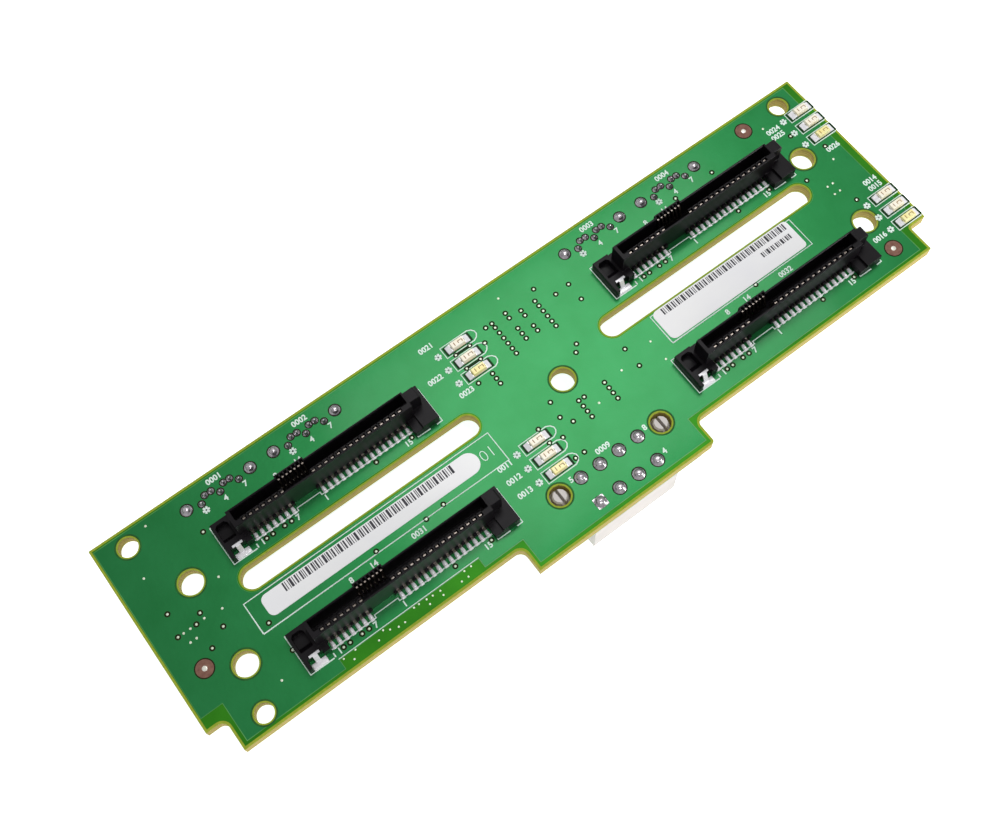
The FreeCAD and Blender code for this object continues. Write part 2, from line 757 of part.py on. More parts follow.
def build_solder():
    joints = []
    for x0, y0 in data_headers():
        joints += [solder(x0 + x, y0 + y, SOLDER_R) for x, y in data_pins()]
        joints += [solder(x0 + x, y0, LOCK_SOLDER_R) for x in data_locks()]
    write("data_header_solder", joints)
    write("power_header_solder", [solder(x, y, POWER_SOLDER_R) for x, y in power_pins()])


# Status lights

def status_light(x, y):
    """Surface-mounted light: flat base with a clear lens moulded on it."""
    lens_foot = BOARD_T + LIGHT_BASE_T
    base = block(x - LIGHT_L / 2, x + LIGHT_L / 2, y - LIGHT_W / 2, y + LIGHT_W / 2,
                 BOARD_T, lens_foot)
    outlines = []
    for inset in (0, LENS_DRAFT):
        half_l = LENS_L / 2 - inset
        half_w = LENS_W / 2 - inset
        outlines.append(oblong(x - half_l, x + half_l, y - half_w, y + half_w))
    return join([base, tapered(outlines[0], lens_foot, outlines[1], lens_foot + LENS_T)])


def build_lights():
    edge = board_edges()[1] - LIGHT_FROM_RIGHT
    first = (LIGHT_COUNT - 1) / 2 * LIGHT_PITCH
    for row, y in (("upper", LIGHT_UPPER_Y), ("lower", LIGHT_LOWER_Y)):
        for column, x in (("middle", LIGHT_MIDDLE_X), ("edge", edge)):
            for k in range(LIGHT_COUNT):
                name = "status_light_%s_%s_%d" % (row, column, k + 1)
                write(name, [status_light(x, y + first - k * LIGHT_PITCH)])


# Labels

def build_labels():
    top = BOARD_T + LABEL_T
    x0 = bays()["left"] + LEFT_LABEL_X
    x1 = x0 + LEFT_LABEL_L
    y0 = LEFT_LABEL_Y
    y1 = y0 + LEFT_LABEL_W
    end = LEFT_LABEL_W / 2
    write("left_label", [slab([(x0, y0, 0), (x1, y0, end), (x1, y1, end), (x0, y1, 0)],
                              BOARD_T, top)])
    x0 = bays()["right"] + RIGHT_LABEL_X
    y0 = RIGHT_LABEL_Y
    outline = oblong(x0, x0 + RIGHT_LABEL_L, y0, y0 + RIGHT_LABEL_W)
    write("right_label", [prism(outline, BOARD_T, top)])


write("circuit_board", [circuit_board()])
build_sockets()
build_data_headers()
build_power_header()
build_solder()
build_lights()
build_labels()
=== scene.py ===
import json
import math

import bmesh
import bpy
from mathutils import Matrix, Vector

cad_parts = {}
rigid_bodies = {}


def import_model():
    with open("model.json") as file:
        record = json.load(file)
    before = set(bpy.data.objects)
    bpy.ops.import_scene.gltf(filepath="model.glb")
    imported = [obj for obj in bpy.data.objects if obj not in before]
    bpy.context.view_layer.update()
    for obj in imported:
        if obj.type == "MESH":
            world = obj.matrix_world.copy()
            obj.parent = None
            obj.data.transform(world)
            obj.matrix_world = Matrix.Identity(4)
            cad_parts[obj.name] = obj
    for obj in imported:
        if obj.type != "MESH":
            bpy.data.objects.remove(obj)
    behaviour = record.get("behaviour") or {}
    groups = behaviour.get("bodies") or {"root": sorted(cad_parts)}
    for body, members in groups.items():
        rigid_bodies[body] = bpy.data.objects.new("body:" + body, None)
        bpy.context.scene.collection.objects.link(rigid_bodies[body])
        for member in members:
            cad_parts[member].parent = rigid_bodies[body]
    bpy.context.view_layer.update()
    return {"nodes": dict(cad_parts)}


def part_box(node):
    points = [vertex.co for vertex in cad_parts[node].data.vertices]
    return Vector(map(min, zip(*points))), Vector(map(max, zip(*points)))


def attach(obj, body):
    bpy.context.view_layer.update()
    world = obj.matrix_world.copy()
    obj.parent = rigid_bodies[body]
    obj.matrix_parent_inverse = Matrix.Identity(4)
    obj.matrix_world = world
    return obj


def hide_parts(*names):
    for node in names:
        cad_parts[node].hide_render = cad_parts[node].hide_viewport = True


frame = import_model()
nodes = frame["nodes"]


# Circuit board
# Glass-fibre laminate pressed from woven sheets and resin, cut to shape with a
# router, so its walls show the layers and a margin of bare laminate runs round it.

MM = 0.001                    # sizes are in millimetres
BOARD_FRONT = 2.4
LAMINATE_SHEET = 0.3          # one pressed sheet
FIBRE_STRETCH = 12            # fibres lie along the sheets


def linear(colour):
    """An sRGB hex colour as the linear values that a shader takes."""
    shares = [int(colour[k:k + 2], 16) / 255 for k in (1, 3, 5)]
    return [s / 12.92 if s <= 0.04045 else ((s + 0.055) / 1.055) ** 2.4 for s in shares] + [1]


def add_node(finish, kind, settings={}, links={}):
    """Adds one node, with its settings and the (node, output) that each input takes."""
    node = finish.node_tree.nodes.new(kind)
    for name, value in settings.items():
        if name in node.inputs:
            node.inputs[name].default_value = value
        else:
            setattr(node, name, value)
    for name, (source, output) in links.items():
        finish.node_tree.links.new(source.outputs[output], node.inputs[name])
    return node


def surface_of(finish):
    return finish.node_tree.nodes["Principled BSDF"]


def new_finish(name, colour, roughness, **settings):
    """A material, with the values that are the same all over on its surface shader."""
    finish = bpy.data.materials.new(name)
    finish.use_nodes = True
    surface = surface_of(finish)
    surface.inputs["Base Color"].default_value = linear(colour)
    surface.inputs["Roughness"].default_value = roughness
    for socket, value in settings.items():
        surface.inputs[socket.replace("_", " ")].default_value = value
    return finish


def mottle(finish, size, dark, light, spread=0.25):
    """Slow change of colour over the surface, in patches of a size in millimetres."""
    place = add_node(finish, "ShaderNodeTexCoord")
    patches = add_node(finish, "ShaderNodeTexNoise", {"Scale": 1 / (size * MM), "Detail": 4.0},
                       {"Vector": (place, "Object")})
    tint = add_node(finish, "ShaderNodeValToRGB", {}, {"Fac": (patches, "Fac")})
    tint.color_ramp.elements[0].position = 0.5 - spread
    tint.color_ramp.elements[1].position = 0.5 + spread
    tint.color_ramp.elements[0].color = linear(dark)
    tint.color_ramp.elements[1].color = linear(light)
    finish.node_tree.links.new(tint.outputs["Color"], surface_of(finish).inputs["Base Color"])


def unevenness(finish, size, depth):
    """Fine bumps of a size and depth in millimetres."""
    place = add_node(finish, "ShaderNodeTexCoord")
    grain = add_node(finish, "ShaderNodeTexNoise", {"Scale": 1 / (size * MM), "Detail": 3.0},
                     {"Vector": (place, "Object")})
    bumps = add_node(finish, "ShaderNodeBump", {"Distance": depth * MM},
                     {"Height": (grain, "Fac")})
    finish.node_tree.links.new(bumps.outputs["Normal"], surface_of(finish).inputs["Normal"])


def dress(piece, finish):
    """Gives a piece or a CAD node its only finish."""
    piece.data.materials.clear()
    piece.data.materials.append(finish)


# Laminate: resin gives a dull yellow-olive face. The cut wall is tan, with darker
# bands where the sheets meet and short pale fibres along them.
laminate = new_finish("glass_fibre_laminate", "#A9A860", 0.75, IOR=1.55, Specular_IOR_Level=0.25)
LAYERS = ("#9CAA30", "#BAA95A", "#9C8A46", "#C6B468", "#A28F4A", "#C2B164",
          "#9C8A46", "#BAA95A", "#9CAA30")
laminate_place = add_node(laminate, "ShaderNodeTexCoord")
laminate_axes = add_node(laminate, "ShaderNodeSeparateXYZ",
                         links={"Vector": (laminate_place, "Object")})
laminate_depth = add_node(laminate, "ShaderNodeMapRange",
                          {"From Max": BOARD_FRONT * MM}, {"Value": (laminate_axes, "Z")})
laminate_layers = add_node(laminate, "ShaderNodeValToRGB", {}, {"Fac": (laminate_depth, "Result")})
for step, colour in enumerate(LAYERS):
    share = step / (len(LAYERS) - 1)
    stops = laminate_layers.color_ramp.elements
    stop = stops[0] if step == 0 else stops[-1] if share == 1 else stops.new(share)
    stop.color = linear(colour)
laminate_squash = add_node(laminate, "ShaderNodeMapping", {"Scale": (1, 1, FIBRE_STRETCH)},
                           {"Vector": (laminate_place, "Object")})
laminate_fibres = add_node(laminate, "ShaderNodeTexNoise",
                           {"Scale": 1 / (LAMINATE_SHEET * MM) / 2, "Detail": 5.0},
                           {"Vector": (laminate_squash, "Vector")})
laminate_mix = add_node(laminate, "ShaderNodeMixRGB", {"blend_type": "OVERLAY", "Fac": 0.3},
                        {"Color1": (laminate_layers, "Color"), "Color2": (laminate_fibres, "Fac")})
laminate.node_tree.links.new(laminate_mix.outputs["Color"],
                             surface_of(laminate).inputs["Base Color"])
unevenness(laminate, 0.15, 0.02)
dress(nodes["circuit_board"], laminate)


# Solder mask and copper
# Green resin is printed over both faces, short of every cut edge. Under it lies the
# copper, which stops a little further in, so its edge shows as a line in the green.

MASK_MARGIN = 0.45            # bare laminate round the mask,
MASK_HOLE_MARGIN = 0.3        # and round the holes in it
MASK_TOP = 0.02               # above the laminate
COPPER = (-83.35, 72.1, -24.25, 22.9)          # left, right, lower and upper side
NO_COPPER = ((-90, -23.5, -30, -19.3), (12.7, 80, -30, -19.3),    # beside the tab,
             (-90, -79.2, -30, -11.8), (68.3, 80, -30, -13.7))    # and over the two notches
NO_FRONT_COPPER = (-60.1, -31.5, -30, -17.45)  # below the lower left socket
COPPER_HOLE_MARGIN = 0.55
POUR_TOP = 0.035
POUR_EDGE = 0.12              # line along the copper's edge,
POUR_EDGE_TOP = 0.03          # a little lower than the copper
SHEET = 0.01                  # thickness of a sheet of mask or copper
FEW_SIDES = 6                 # holes with no more sides are filled by pins and pegs
CUT_REACH = 1                 # a cutter stands out of what it cuts by this much
FACES = ((1, "front"), (-1, "rear"))


def deselect():
    for piece in bpy.context.selected_objects:
        piece.select_set(False)


def only(piece):
    """Makes a piece the only one selected."""
    deselect()
    piece.select_set(True)
    bpy.context.view_layer.objects.active = piece


def open_mesh(piece, kind="FACE"):
    """Opens a piece in edit mode with nothing selected."""
    only(piece)
    bpy.ops.object.mode_set(mode="EDIT")
    bpy.ops.mesh.select_mode(type=kind)
    bpy.ops.mesh.select_all(action="DESELECT")


def close_mesh():
    bpy.ops.object.mode_set(mode="OBJECT")


def pick_faces(piece, test):
    """Selects the faces that pass a test, in edit mode."""
    mesh = bmesh.from_edit_mesh(piece.data)
    for face in mesh.faces:
        face.select_set(bool(test(face)))
    bmesh.update_edit_mesh(piece.data)


def open_top(piece):
    """Opens a piece in edit mode with its upper faces selected."""
    open_mesh(piece)
    pick_faces(piece, lambda f: f.normal.z > 0.9)


def pick_edges(piece, test):
    """Selects the edges that pass a test of their two ends, in edit mode."""
    mesh = bmesh.from_edit_mesh(piece.data)
    for edge in mesh.edges:
        edge.select_set(bool(test(edge.verts[0].co / MM, edge.verts[1].co / MM)))
    bmesh.update_edit_mesh(piece.data)


def pick_corners(piece, test):
    """Selects the corners that pass a test of their place in millimetres, in edit mode."""
    mesh = bmesh.from_edit_mesh(piece.data)
    for corner in mesh.verts:
        corner.select_set(bool(test(corner.co / MM)))
    mesh.select_flush_mode()
    bmesh.update_edit_mesh(piece.data)


def pick_all():
    bpy.ops.mesh.select_all(action="SELECT")


def move_picked(x=0, y=0, z=0):
    bpy.ops.transform.translate(value=(x * MM, y * MM, z * MM))


def delete_rest(kind):
    """Deletes all but what is selected, in edit mode."""
    bpy.ops.mesh.select_all(action="INVERT")
    bpy.ops.mesh.delete(type=kind)


def named(piece, name):
    piece.name = piece.data.name = name
    return piece


def merged_copy(node, name):
    """A new piece with a copy of a CAD node's mesh, its loose triangles joined up."""
    piece = named(bpy.data.objects.new(name, nodes[node].data.copy()), name)
    bpy.context.scene.collection.objects.link(piece)
    open_mesh(piece)
    pick_all()
    bpy.ops.mesh.remove_doubles(threshold=1e-6)
    close_mesh()
    return piece


def apply_modifier(piece, kind, **settings):
    only(piece)
    modifier = piece.modifiers.new(kind.lower(), kind)
    for name, value in settings.items():
        setattr(modifier, name, value)
    bpy.ops.object.modifier_apply(modifier=modifier.name)


def face_level(side, height):
    """A level over the board's front face, for side 1, or under its rear face, for -1."""
    return BOARD_FRONT + height if side > 0 else -height


def face_outline(name, side, margin):
    """Outlines of the board's front or rear face and its holes, drawn in by a margin."""
    skin = merged_copy("circuit_board", name)
    open_mesh(skin)
    pick_faces(skin, lambda f: f.normal.z * side > 0.9
               and abs(f.calc_center_median().z / MM - face_level(side, 0)) < 0.01)
    delete_rest("FACE")
    pick_all()
    bpy.ops.mesh.fill_holes(sides=FEW_SIDES)
    pick_all()
    bpy.ops.mesh.inset(thickness=margin * MM, use_boundary=True, use_even_offset=True)
    delete_rest("FACE")
    bpy.ops.mesh.select_mode(type="EDGE")
    bpy.ops.mesh.select_all(action="DESELECT")
    bpy.ops.mesh.select_non_manifold(use_wire=False, use_boundary=True, use_multi_face=False,
                                     use_non_contiguous=False, use_verts=False)
    delete_rest("EDGE")
    close_mesh()
    return skin


def plate(skin, z0, z1):
    """Fills the outlines of a skin and gives it its thickness, between two heights."""
    open_mesh(skin, "EDGE")
    pick_all()
    bpy.ops.mesh.fill(use_beauty=True)
    pick_all()
    now = skin.data.vertices[0].co.z / MM
    move_picked(z=z0 - now)
    bpy.ops.mesh.extrude_region_move(TRANSFORM_OT_translate={"value": (0, 0, (z1 - z0) * MM)})
    pick_all()
    bpy.ops.mesh.normals_make_consistent(inside=False)
    close_mesh()
    return skin


def added(name):
    """The primitive that was just added, with its name, place, turn and size in its mesh."""
    piece = named(bpy.context.active_object, name)
    only(piece)
    bpy.ops.object.transform_apply(location=True, rotation=True, scale=True)
    return piece


def block(name, x0, x1, y0, y1, z0, z1, corner=0, edge=0):
    """A block between two corners, its upright edges rounded and its top edge broken."""
    middle = [(x0 + x1) / 2 * MM, (y0 + y1) / 2 * MM, (z0 + z1) / 2 * MM]
    bpy.ops.mesh.primitive_cube_add(size=MM, location=middle, scale=(x1 - x0, y1 - y0, z1 - z0))
    piece = added(name)
    if corner:
        open_mesh(piece, "EDGE")
        pick_edges(piece, lambda a, b: (a - b).xy.length < 1e-4)
        bpy.ops.mesh.bevel(offset=corner * MM, segments=4)
        close_mesh()
    if edge:
        open_mesh(piece, "EDGE")
        pick_edges(piece, lambda a, b: min(a.z, b.z) > z1 - 1e-4)
        bpy.ops.mesh.bevel(offset=edge * MM, segments=2)
        close_mesh()
    return piece


def only_loops(skin, edge):
    """Keeps the outline of the board's edge, or else those of its holes."""
    open_mesh(skin, "VERT")
    leftmost = min(v.co.x for v in skin.data.vertices) / MM
    pick_corners(skin, lambda p: p.x < leftmost + 0.001)
    bpy.ops.mesh.select_linked()
    if edge:
        bpy.ops.mesh.select_all(action="INVERT")
    bpy.ops.mesh.delete(type="VERT")
    close_mesh()
    return skin


def cut_out(piece, cutter):
    apply_modifier(piece, "BOOLEAN", operation="DIFFERENCE", solver="EXACT", object=cutter)
    bpy.data.objects.remove(cutter)


def cut_holes(sheet, side, margin, level):
    """Cuts the board's holes, each larger by a margin, out of a sheet at a level."""
    holes = only_loops(face_outline("holes", side, margin), False)
    cut_out(sheet, plate(holes, level - CUT_REACH, level + CUT_REACH))


def copper_sheet(name, side, grow, top):
    """A sheet with the copper's sharp-cornered outline, made larger all round."""
    level = face_level(side, top)
    x0, x1, y0, y1 = COPPER
    sheet = block(name, x0 - grow, x1 + grow, y0 - grow, y1 + grow,
                  *sorted((level, level - SHEET * side)))
    for x0, x1, y0, y1 in NO_COPPER + ((NO_FRONT_COPPER,) if side > 0 else ()):
        cut_out(sheet, block("gap", x0 + grow, x1 - grow, y0 + grow, y1 - grow,
                             level - CUT_REACH, level + CUT_REACH))
    cut_holes(sheet, side, COPPER_HOLE_MARGIN - grow / 2, level)
    return sheet


def ride(piece, finish):
    """Gives a piece its finish and fixes it to the board's one body."""
    dress(piece, finish)
    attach(piece, "root")


# Mask over bare laminate: thin green resin, made darker and yellower by the laminate
# behind it.
thin_mask = new_finish("solder_mask_over_laminate", "#3C8A14", 0.38, IOR=1.5,
                       Metallic=0.55, Specular_IOR_Level=0.2)
mottle(thin_mask, 9, "#24700F", "#358818")
unevenness(thin_mask, 0.8, 0.01)

# Mask over copper: the metal under the resin throws light back, so the green is
# brighter and shows broad soft reflections, clouded by the roughened copper.
copper_mask = new_finish("solder_mask_over_copper", "#247F3E", 0.38, Metallic=0.85,
                         IOR=1.5, Coat_Weight=0.18, Coat_Roughness=0.1)
mottle(copper_mask, 6, "#1C773B", "#268146", 0.3)
unevenness(copper_mask, 0.7, 0.012)

# Edge of the copper, where the resin thins over the step: a lighter line, partly
# the thinner resin and partly a painted highlight of the step.
copper_edge = new_finish("solder_mask_on_copper_edge", "#6FB765", 0.3, IOR=1.5)
mottle(copper_edge, 5, "#2E7E36", "#62AC5C")

for side, where in FACES:
    level = face_level(side, MASK_TOP)
    mask = plate(only_loops(face_outline(where + "_solder_mask", side, MASK_MARGIN), True),
                 level - SHEET * side, level)
    cut_holes(mask, side, MASK_HOLE_MARGIN, level)
    ride(mask, thin_mask)
    # Lighter line along the copper's edge, partly painted highlight.
    edge = copper_sheet(where + "_copper_edge", side, POUR_EDGE, POUR_EDGE_TOP)
    ride(edge, copper_edge)
    pour = copper_sheet(where + "_copper_pour", side, 0, POUR_TOP)
    ride(pour, copper_mask)


# Plated holes
# Small copper tubes join the layers. The mask is drawn back round each one, with a
# dark ring of painted shade in its step, and the tinned mouth of the tube shows in the middle.

MARKS_X, MARKS_Y = -59.5, -14.7   # holes and print are measured from here, at the
                                  # first contact of the lower left socket
RING_R, RING_LINE = 0.4, 0.14
RING_FLAT = 0.4                   # share of its height that is left
MOUTH_R = 0.23
BRIM_OUT, BRIM_LINE = 0.43, 0.17  # brim round the board's own holes
BRIM_LEVEL = POUR_TOP - 0.01
HOLE_COLUMNS = {50.2: (23.2, 22.0, 20.8, 9.7, 6.5),       # x: heights of its holes
                56.0: (31.2, 30.2, 28.9, 27.6, 26.3, 25.0, 23.8, 7.2),
                59.2: (31.4, 30.2, 27.6, 26.3, 25.1, 9.7, 8.4, 7.2, 5.9),
                61.8: (30.1, 28.9, 26.3, 25.1),
                65.0: (30.1, 28.9, 27.6, 26.3, 25.0, 23.8, 9.7, 8.4, 7.2, 5.9),
                72.0: (29.1, 25.3, 12.6, 8.5)}
HOLES_LEFT = ((-19.3, 20.9), (-19.9, 16.5), (-16.3, 16.5), (-14.8, 17.8), (-12.9, 13.5),
              (-16.3, 11.5), (-6.9, 29.5), (-6.5, 9.4), (-5.8, 3.2), (14.8, 8.7),
              (24.9, 8.2), (28.8, 8.6), (47.1, 23.2))
HOLES_RIGHT = ((47.1, 30.1), (50.2, 30.1), (47.1, 26.8), (50.2, 26.8), (52.7, 28.9),
               (54.6, 31.2), (66.3, 32.2), (68.9, 28.9), (65.7, 18.7), (64.6, 17.4),
               (55.0, 12.5), (54.6, 9.2), (60.4, 9.7), (52.7, 5.9), (54.0, 1.5),
               (52.1, 1.5), (108.3, 31.4), (99.2, 31.2), (121.3, 19.1), (125.9, 10.3),
               (125.5, 28.4), (129.2, 22.7), (99.1, 8.2))
FOOT_HOLES = (1.2, 2.5, 4.9, 6.3, 24.0, 31.6)   # beside the feet of a drive socket
SOCKET_SHIFTS = ((0, -1.5), (82.8, -1.5), (0, 21.94), (82.8, 21.94))
STRIP_HOLES = ((0.1, -3.1), (1.5, -4.2), (2.5, -3.0), (6.5, -4.1), (8.0, -3.1), (9.0, -3.7),
               (10.4, -4.2), (11.7, -4.2), (14.3, -3.1), (15.3, -3.1), (16.8, -3.2),
               (16.8, -4.2), (18.0, -3.3), (19.5, -3.4), (19.5, -4.3), (23.3, -4.3),
               (24.7, -3.1), (24.7, -4.3), (26.1, -3.1))
STRIP_HOLE_SUNK = 0.04          # the mask runs up to them, so they look smaller
FILLED_HOLES = ((-18.8, 16.5), (-17.5, 16.5), (-14.7, 16.6), (-18.7, 14.5), (-17.5, 14.5),
                (-11.4, 16.2), (-9.0, 21.2), (-19.3, 28.6), (-14.3, 36.4), (-10, 0.1),
                (60, 34.6), (76.6, 11.0), (76.6, 6.6), (68.9, 9.7), (61.8, 7.2),
                (123.5, 15.7), (123.5, 13.7), (124.8, 15.7), (124.8, 13.7), (128.5, 19.6),
                (122.4, 32.9))          # solder fills them, and they have no dark ring
# The board's own round holes, from its centre hole: x, y and radius.
OWN_HOLES = ((0, 0, 2.2), (-72.75, -8.75, 2.2), (64.45, -8.75, 2.2), (-72.75, 8.45, 2.2),
             (64.45, 8.45, 2.2), (-78.15, 20.25, 1.8), (68.55, 20.25, 1.8),
             (-74.65, -17.3, 1.7), (-13.8, -16.97, 1.95), (8.6, -16.97, 1.95))


def marked(places):
    """Places in the board's frame, from places measured at the first contact."""
    return [(MARKS_X + x, MARKS_Y + y) for x, y in places]


def shifted(piece, x=0, y=0, z=0):
    """Moves a piece's mesh by millimetres."""
    piece.data.transform(Matrix.Translation(Vector((x, y, z)) * MM))
    return piece


def copied(piece, x=0, y=0, z=0):
    """A copy with its own mesh, moved by millimetres."""
    copy = bpy.data.objects.new(piece.name, piece.data.copy())
    bpy.context.scene.collection.objects.link(copy)
    return shifted(copy, x, y, z)


def joined(name, pieces):
    """Several pieces of one kind as one object."""
    deselect()
    for piece in pieces:
        piece.select_set(True)
    bpy.context.view_layer.objects.active = pieces[0]
    if len(pieces) > 1:
        bpy.ops.object.join()
    return named(pieces[0], name)


def repeated(name, piece, places):
    """A piece copied to every place, in place of the first one."""
    copies = [copied(piece, *place) for place in places]
    bpy.data.objects.remove(piece)
    return joined(name, copies)


def flattened(piece, share):
    """Presses a piece flat about z = 0, to a share of its height."""
    open_mesh(piece)
    pick_all()
    bpy.ops.transform.resize(value=(1, 1, share), center_override=(0, 0, 0))
    close_mesh()
    return piece


def thin_ring(name, radius, line, around, section=4, x=0, y=0):
    """A ring of a radius and half a line's width, with its numbers of sides."""
    bpy.ops.mesh.primitive_torus_add(major_radius=radius * MM, minor_radius=line * MM,
                                     major_segments=around, minor_segments=section,
                                     location=(x * MM, y * MM, 0))
    return added(name)


ringed = [(x, y) for x, ys in HOLE_COLUMNS.items() for y in ys] + list(HOLES_LEFT + HOLES_RIGHT)
ringed += [(x + foot, y) for x, y in SOCKET_SHIFTS for foot in FOOT_HOLES]

# Dark ring: painted shade in the step of the mask, a dull brown-green.
ring_shade = new_finish("mask_step_round_hole", "#1C200C", 0.6, IOR=1.5, Specular_IOR_Level=0.1)
mottle(ring_shade, 0.6, "#12160A", "#2E3214")

# Tinned mouth of the tube: pale warm metal, slightly dull.
hole_tin = new_finish("tinned_hole_mouth", "#E8F0DC", 0.35, Metallic=0.4)
mottle(hole_tin, 0.5, "#D8E2C4", "#F6FAEC")

for side, where in FACES:
    level = face_level(side, POUR_TOP)
    # Rings of painted shade round the holes.
    ring = flattened(thin_ring("hole_ring", RING_R, RING_LINE, 14), RING_FLAT)
    rings = repeated(where + "_hole_rings", ring, [(x, y, level) for x, y in marked(ringed)])
    ride(rings, ring_shade)
    bpy.ops.mesh.primitive_uv_sphere_add(segments=10, ring_count=4, radius=MOUTH_R * MM)
    mouth = flattened(added("hole_mouth"), 0.2)
    places = [(x, y, level) for x, y in marked(ringed + list(FILLED_HOLES))]
    places += [(x, y, level - STRIP_HOLE_SUNK * side) for x, y in marked(STRIP_HOLES)]
    mouths = repeated(where + "_hole_mouths", mouth, places)
    ride(mouths, hole_tin)

# Step of the mask round the board's own holes: a dark green brim.
hole_brim = new_finish("mask_step_round_screw_hole", "#1E5E26", 0.5, IOR=1.5,
                       Specular_IOR_Level=0.2)
mottle(hole_brim, 1.5, "#174F20", "#2A6E2C")
brims = [flattened(thin_ring("hole_brim", radius + BRIM_OUT, BRIM_LINE, 40, 6, x, y), 0.2)
         for x, y, radius in OWN_HOLES]
brims = shifted(joined("front_hole_brims", brims), z=BOARD_FRONT + BRIM_LEVEL)
ride(brims, hole_brim)


# Alignment marks
# Three round windows in the mask show bare laminate with a tinned dot in the
# middle. The placing machine finds the board by them.

MARK_WINDOW_R = 1.65
MARK_WINDOW_EDGE = 0.12
MARK_DOT_R = 0.48
MARK_LEVEL = BOARD_FRONT + POUR_TOP + 0.008
MARK_PLACES = [(x, y, MARK_LEVEL)
               for x, y in marked([(-19.1, 9.4), (119.1, 34.8), (124.2, -1.5)])]

# Window: laminate scraped of its resin skin, reddish brown.
window_floor = new_finish("bare_laminate_window", "#80584B", 0.6, IOR=1.5, Specular_IOR_Level=0.2)
mottle(window_floor, 0.8, "#724B41", "#926C5C")

bpy.ops.mesh.primitive_cylinder_add(vertices=32, radius=MARK_WINDOW_R * MM, depth=0.02 * MM)
window = added("mark_window")
open_top(window)
bpy.ops.mesh.inset(thickness=MARK_WINDOW_EDGE * MM)
move_picked(z=-0.004)
close_mesh()
ride(repeated("alignment_windows", window, MARK_PLACES), window_floor)
# Brim of painted shade in the step of the mask round each window.
brim = flattened(thin_ring("window_brim", MARK_WINDOW_R, MARK_WINDOW_EDGE, 32), 0.3)
ride(repeated("alignment_window_brims", brim, MARK_PLACES), ring_shade)

# Dot: a fresh tin surface, brighter than the holes' mouths.
bright_tin = new_finish("bright_tin_dot", "#F2EFE2", 0.3, Metallic=0.6)
mottle(bright_tin, 0.4, "#E6E2D2", "#FBF9F0")
bpy.ops.mesh.primitive_uv_sphere_add(segments=20, ring_count=6, radius=MARK_DOT_R * MM)
dot = flattened(added("mark_dot"), 0.12)
ride(repeated("alignment_dots", dot, MARK_PLACES), bright_tin)


# Drive sockets
# Each is one moulding of black glass-filled plastic with 29 sprung contacts. The
# CAD solid gets its broken edges, and a rail that closes the rooms of the contacts.

SOCKETS = ("lower_left", "lower_right", "upper_left", "upper_right")
END_BLOCK = 5.5                # left-hand end to the first contact
END_FRONT = 1.75               # front of the end block to the contact's reference line
BROKEN_EDGE = 0.05
RAIL_LEFT, RAIL_RIGHT = -1.4, 33.65
RAIL_FROM, RAIL_TO = 1.95, 2.2
RAIL_FOOT, SOCKET_TOP = 5.9, 6.4
TOOTH_HALF = 0.3               # teeth stand between the feet
TOOTH_FRONT, TOOTH_BACK, TOOTH_H = 0.6, 1.1, 1.0
TOOTH_ROUND = 0.12
FLAT, SHARP = 1, 30            # degrees between faces that are one, and at an edge to break
WIDE_MOUTH = (7.95, 13.6, 1.35, 2.3, 1.2)   # the slot is wider at the second port:
                                            # left, right, front, back, floor
CONTACT_PITCH = 1.27
SIGNAL_FEET = [k * CONTACT_PITCH for k in range(7)]
POWER_FEET = [13.97 + k * CONTACT_PITCH for k in range(15)]


def box_mm(node):
    """The two corners of a CAD node's box, in millimetres."""
    return [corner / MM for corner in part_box(node)]


def socket_place(name):
    """The first contact of a socket, in millimetres."""
    low, high = box_mm(name + "_socket_housing")
    return low.x + END_BLOCK, low.y + END_FRONT


def at_sockets(shape, ending, finish, level=BOARD_FRONT):
    """A shape made for the first contact at the origin, copied to every socket."""
    copies = [named(copied(shape, *socket_place(name), level), name + ending)
              for name in SOCKETS]
    for copy in copies:
        ride(copy, finish)
    bpy.data.objects.remove(shape)
    return copies


def broken_edges(piece, width):
    """Joins flat faces and breaks the sharp edges of a copied CAD solid."""
    open_mesh(piece)
    pick_all()
    bpy.ops.mesh.dissolve_limited(angle_limit=math.radians(FLAT))
    close_mesh()
    apply_modifier(piece, "BEVEL", width=width * MM, segments=1, limit_method="ANGLE",
                   angle_limit=math.radians(SHARP))


# Moulded plastic: near black, with the gloss of a polished mould and faint flow marks.
black_plastic = new_finish("glass_filled_black_plastic", "#0A080B", 0.36, IOR=1.5,
                           Specular_IOR_Level=0.16)
mottle(black_plastic, 2.5, "#080609", "#141015")
unevenness(black_plastic, 0.5, 0.006)

x, y = socket_place(SOCKETS[0])
moulding = merged_copy(SOCKETS[0] + "_socket_housing", "socket_moulding")
broken_edges(moulding, BROKEN_EDGE)
shifted(moulding, -x, -y, -BOARD_FRONT)
rail = block("rail", RAIL_LEFT, RAIL_RIGHT, RAIL_FROM, RAIL_TO, RAIL_FOOT, SOCKET_TOP,
             edge=BROKEN_EDGE)
moulding = joined("socket_moulding", [moulding, rail])
left, right, front, back, floor = WIDE_MOUTH
cut_out(moulding, block("mouth", left, right, front, back, floor, SOCKET_TOP + CUT_REACH))
tooth = block("tooth", -TOOTH_HALF, TOOTH_HALF, TOOTH_FRONT, TOOTH_BACK, 0, TOOTH_H)
open_mesh(tooth, "EDGE")
pick_edges(tooth, lambda a, b: max(a.y, b.y) < TOOTH_FRONT + 0.01)
bpy.ops.mesh.bevel(offset=TOOTH_ROUND * MM, segments=2)
close_mesh()
teeth = [x + CONTACT_PITCH / 2 for x in SIGNAL_FEET + POWER_FEET]
teeth += [feet[0] - CONTACT_PITCH / 2 for feet in (SIGNAL_FEET, POWER_FEET)]
teeth = repeated("teeth", tooth, [(x, 0, 0) for x in teeth])
moulding = joined("socket_moulding", [moulding, teeth])
housings = at_sockets(moulding, "_socket_moulding", black_plastic)
for housing, name in zip(housings, SOCKETS):
    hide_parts(name + "_socket_housing")


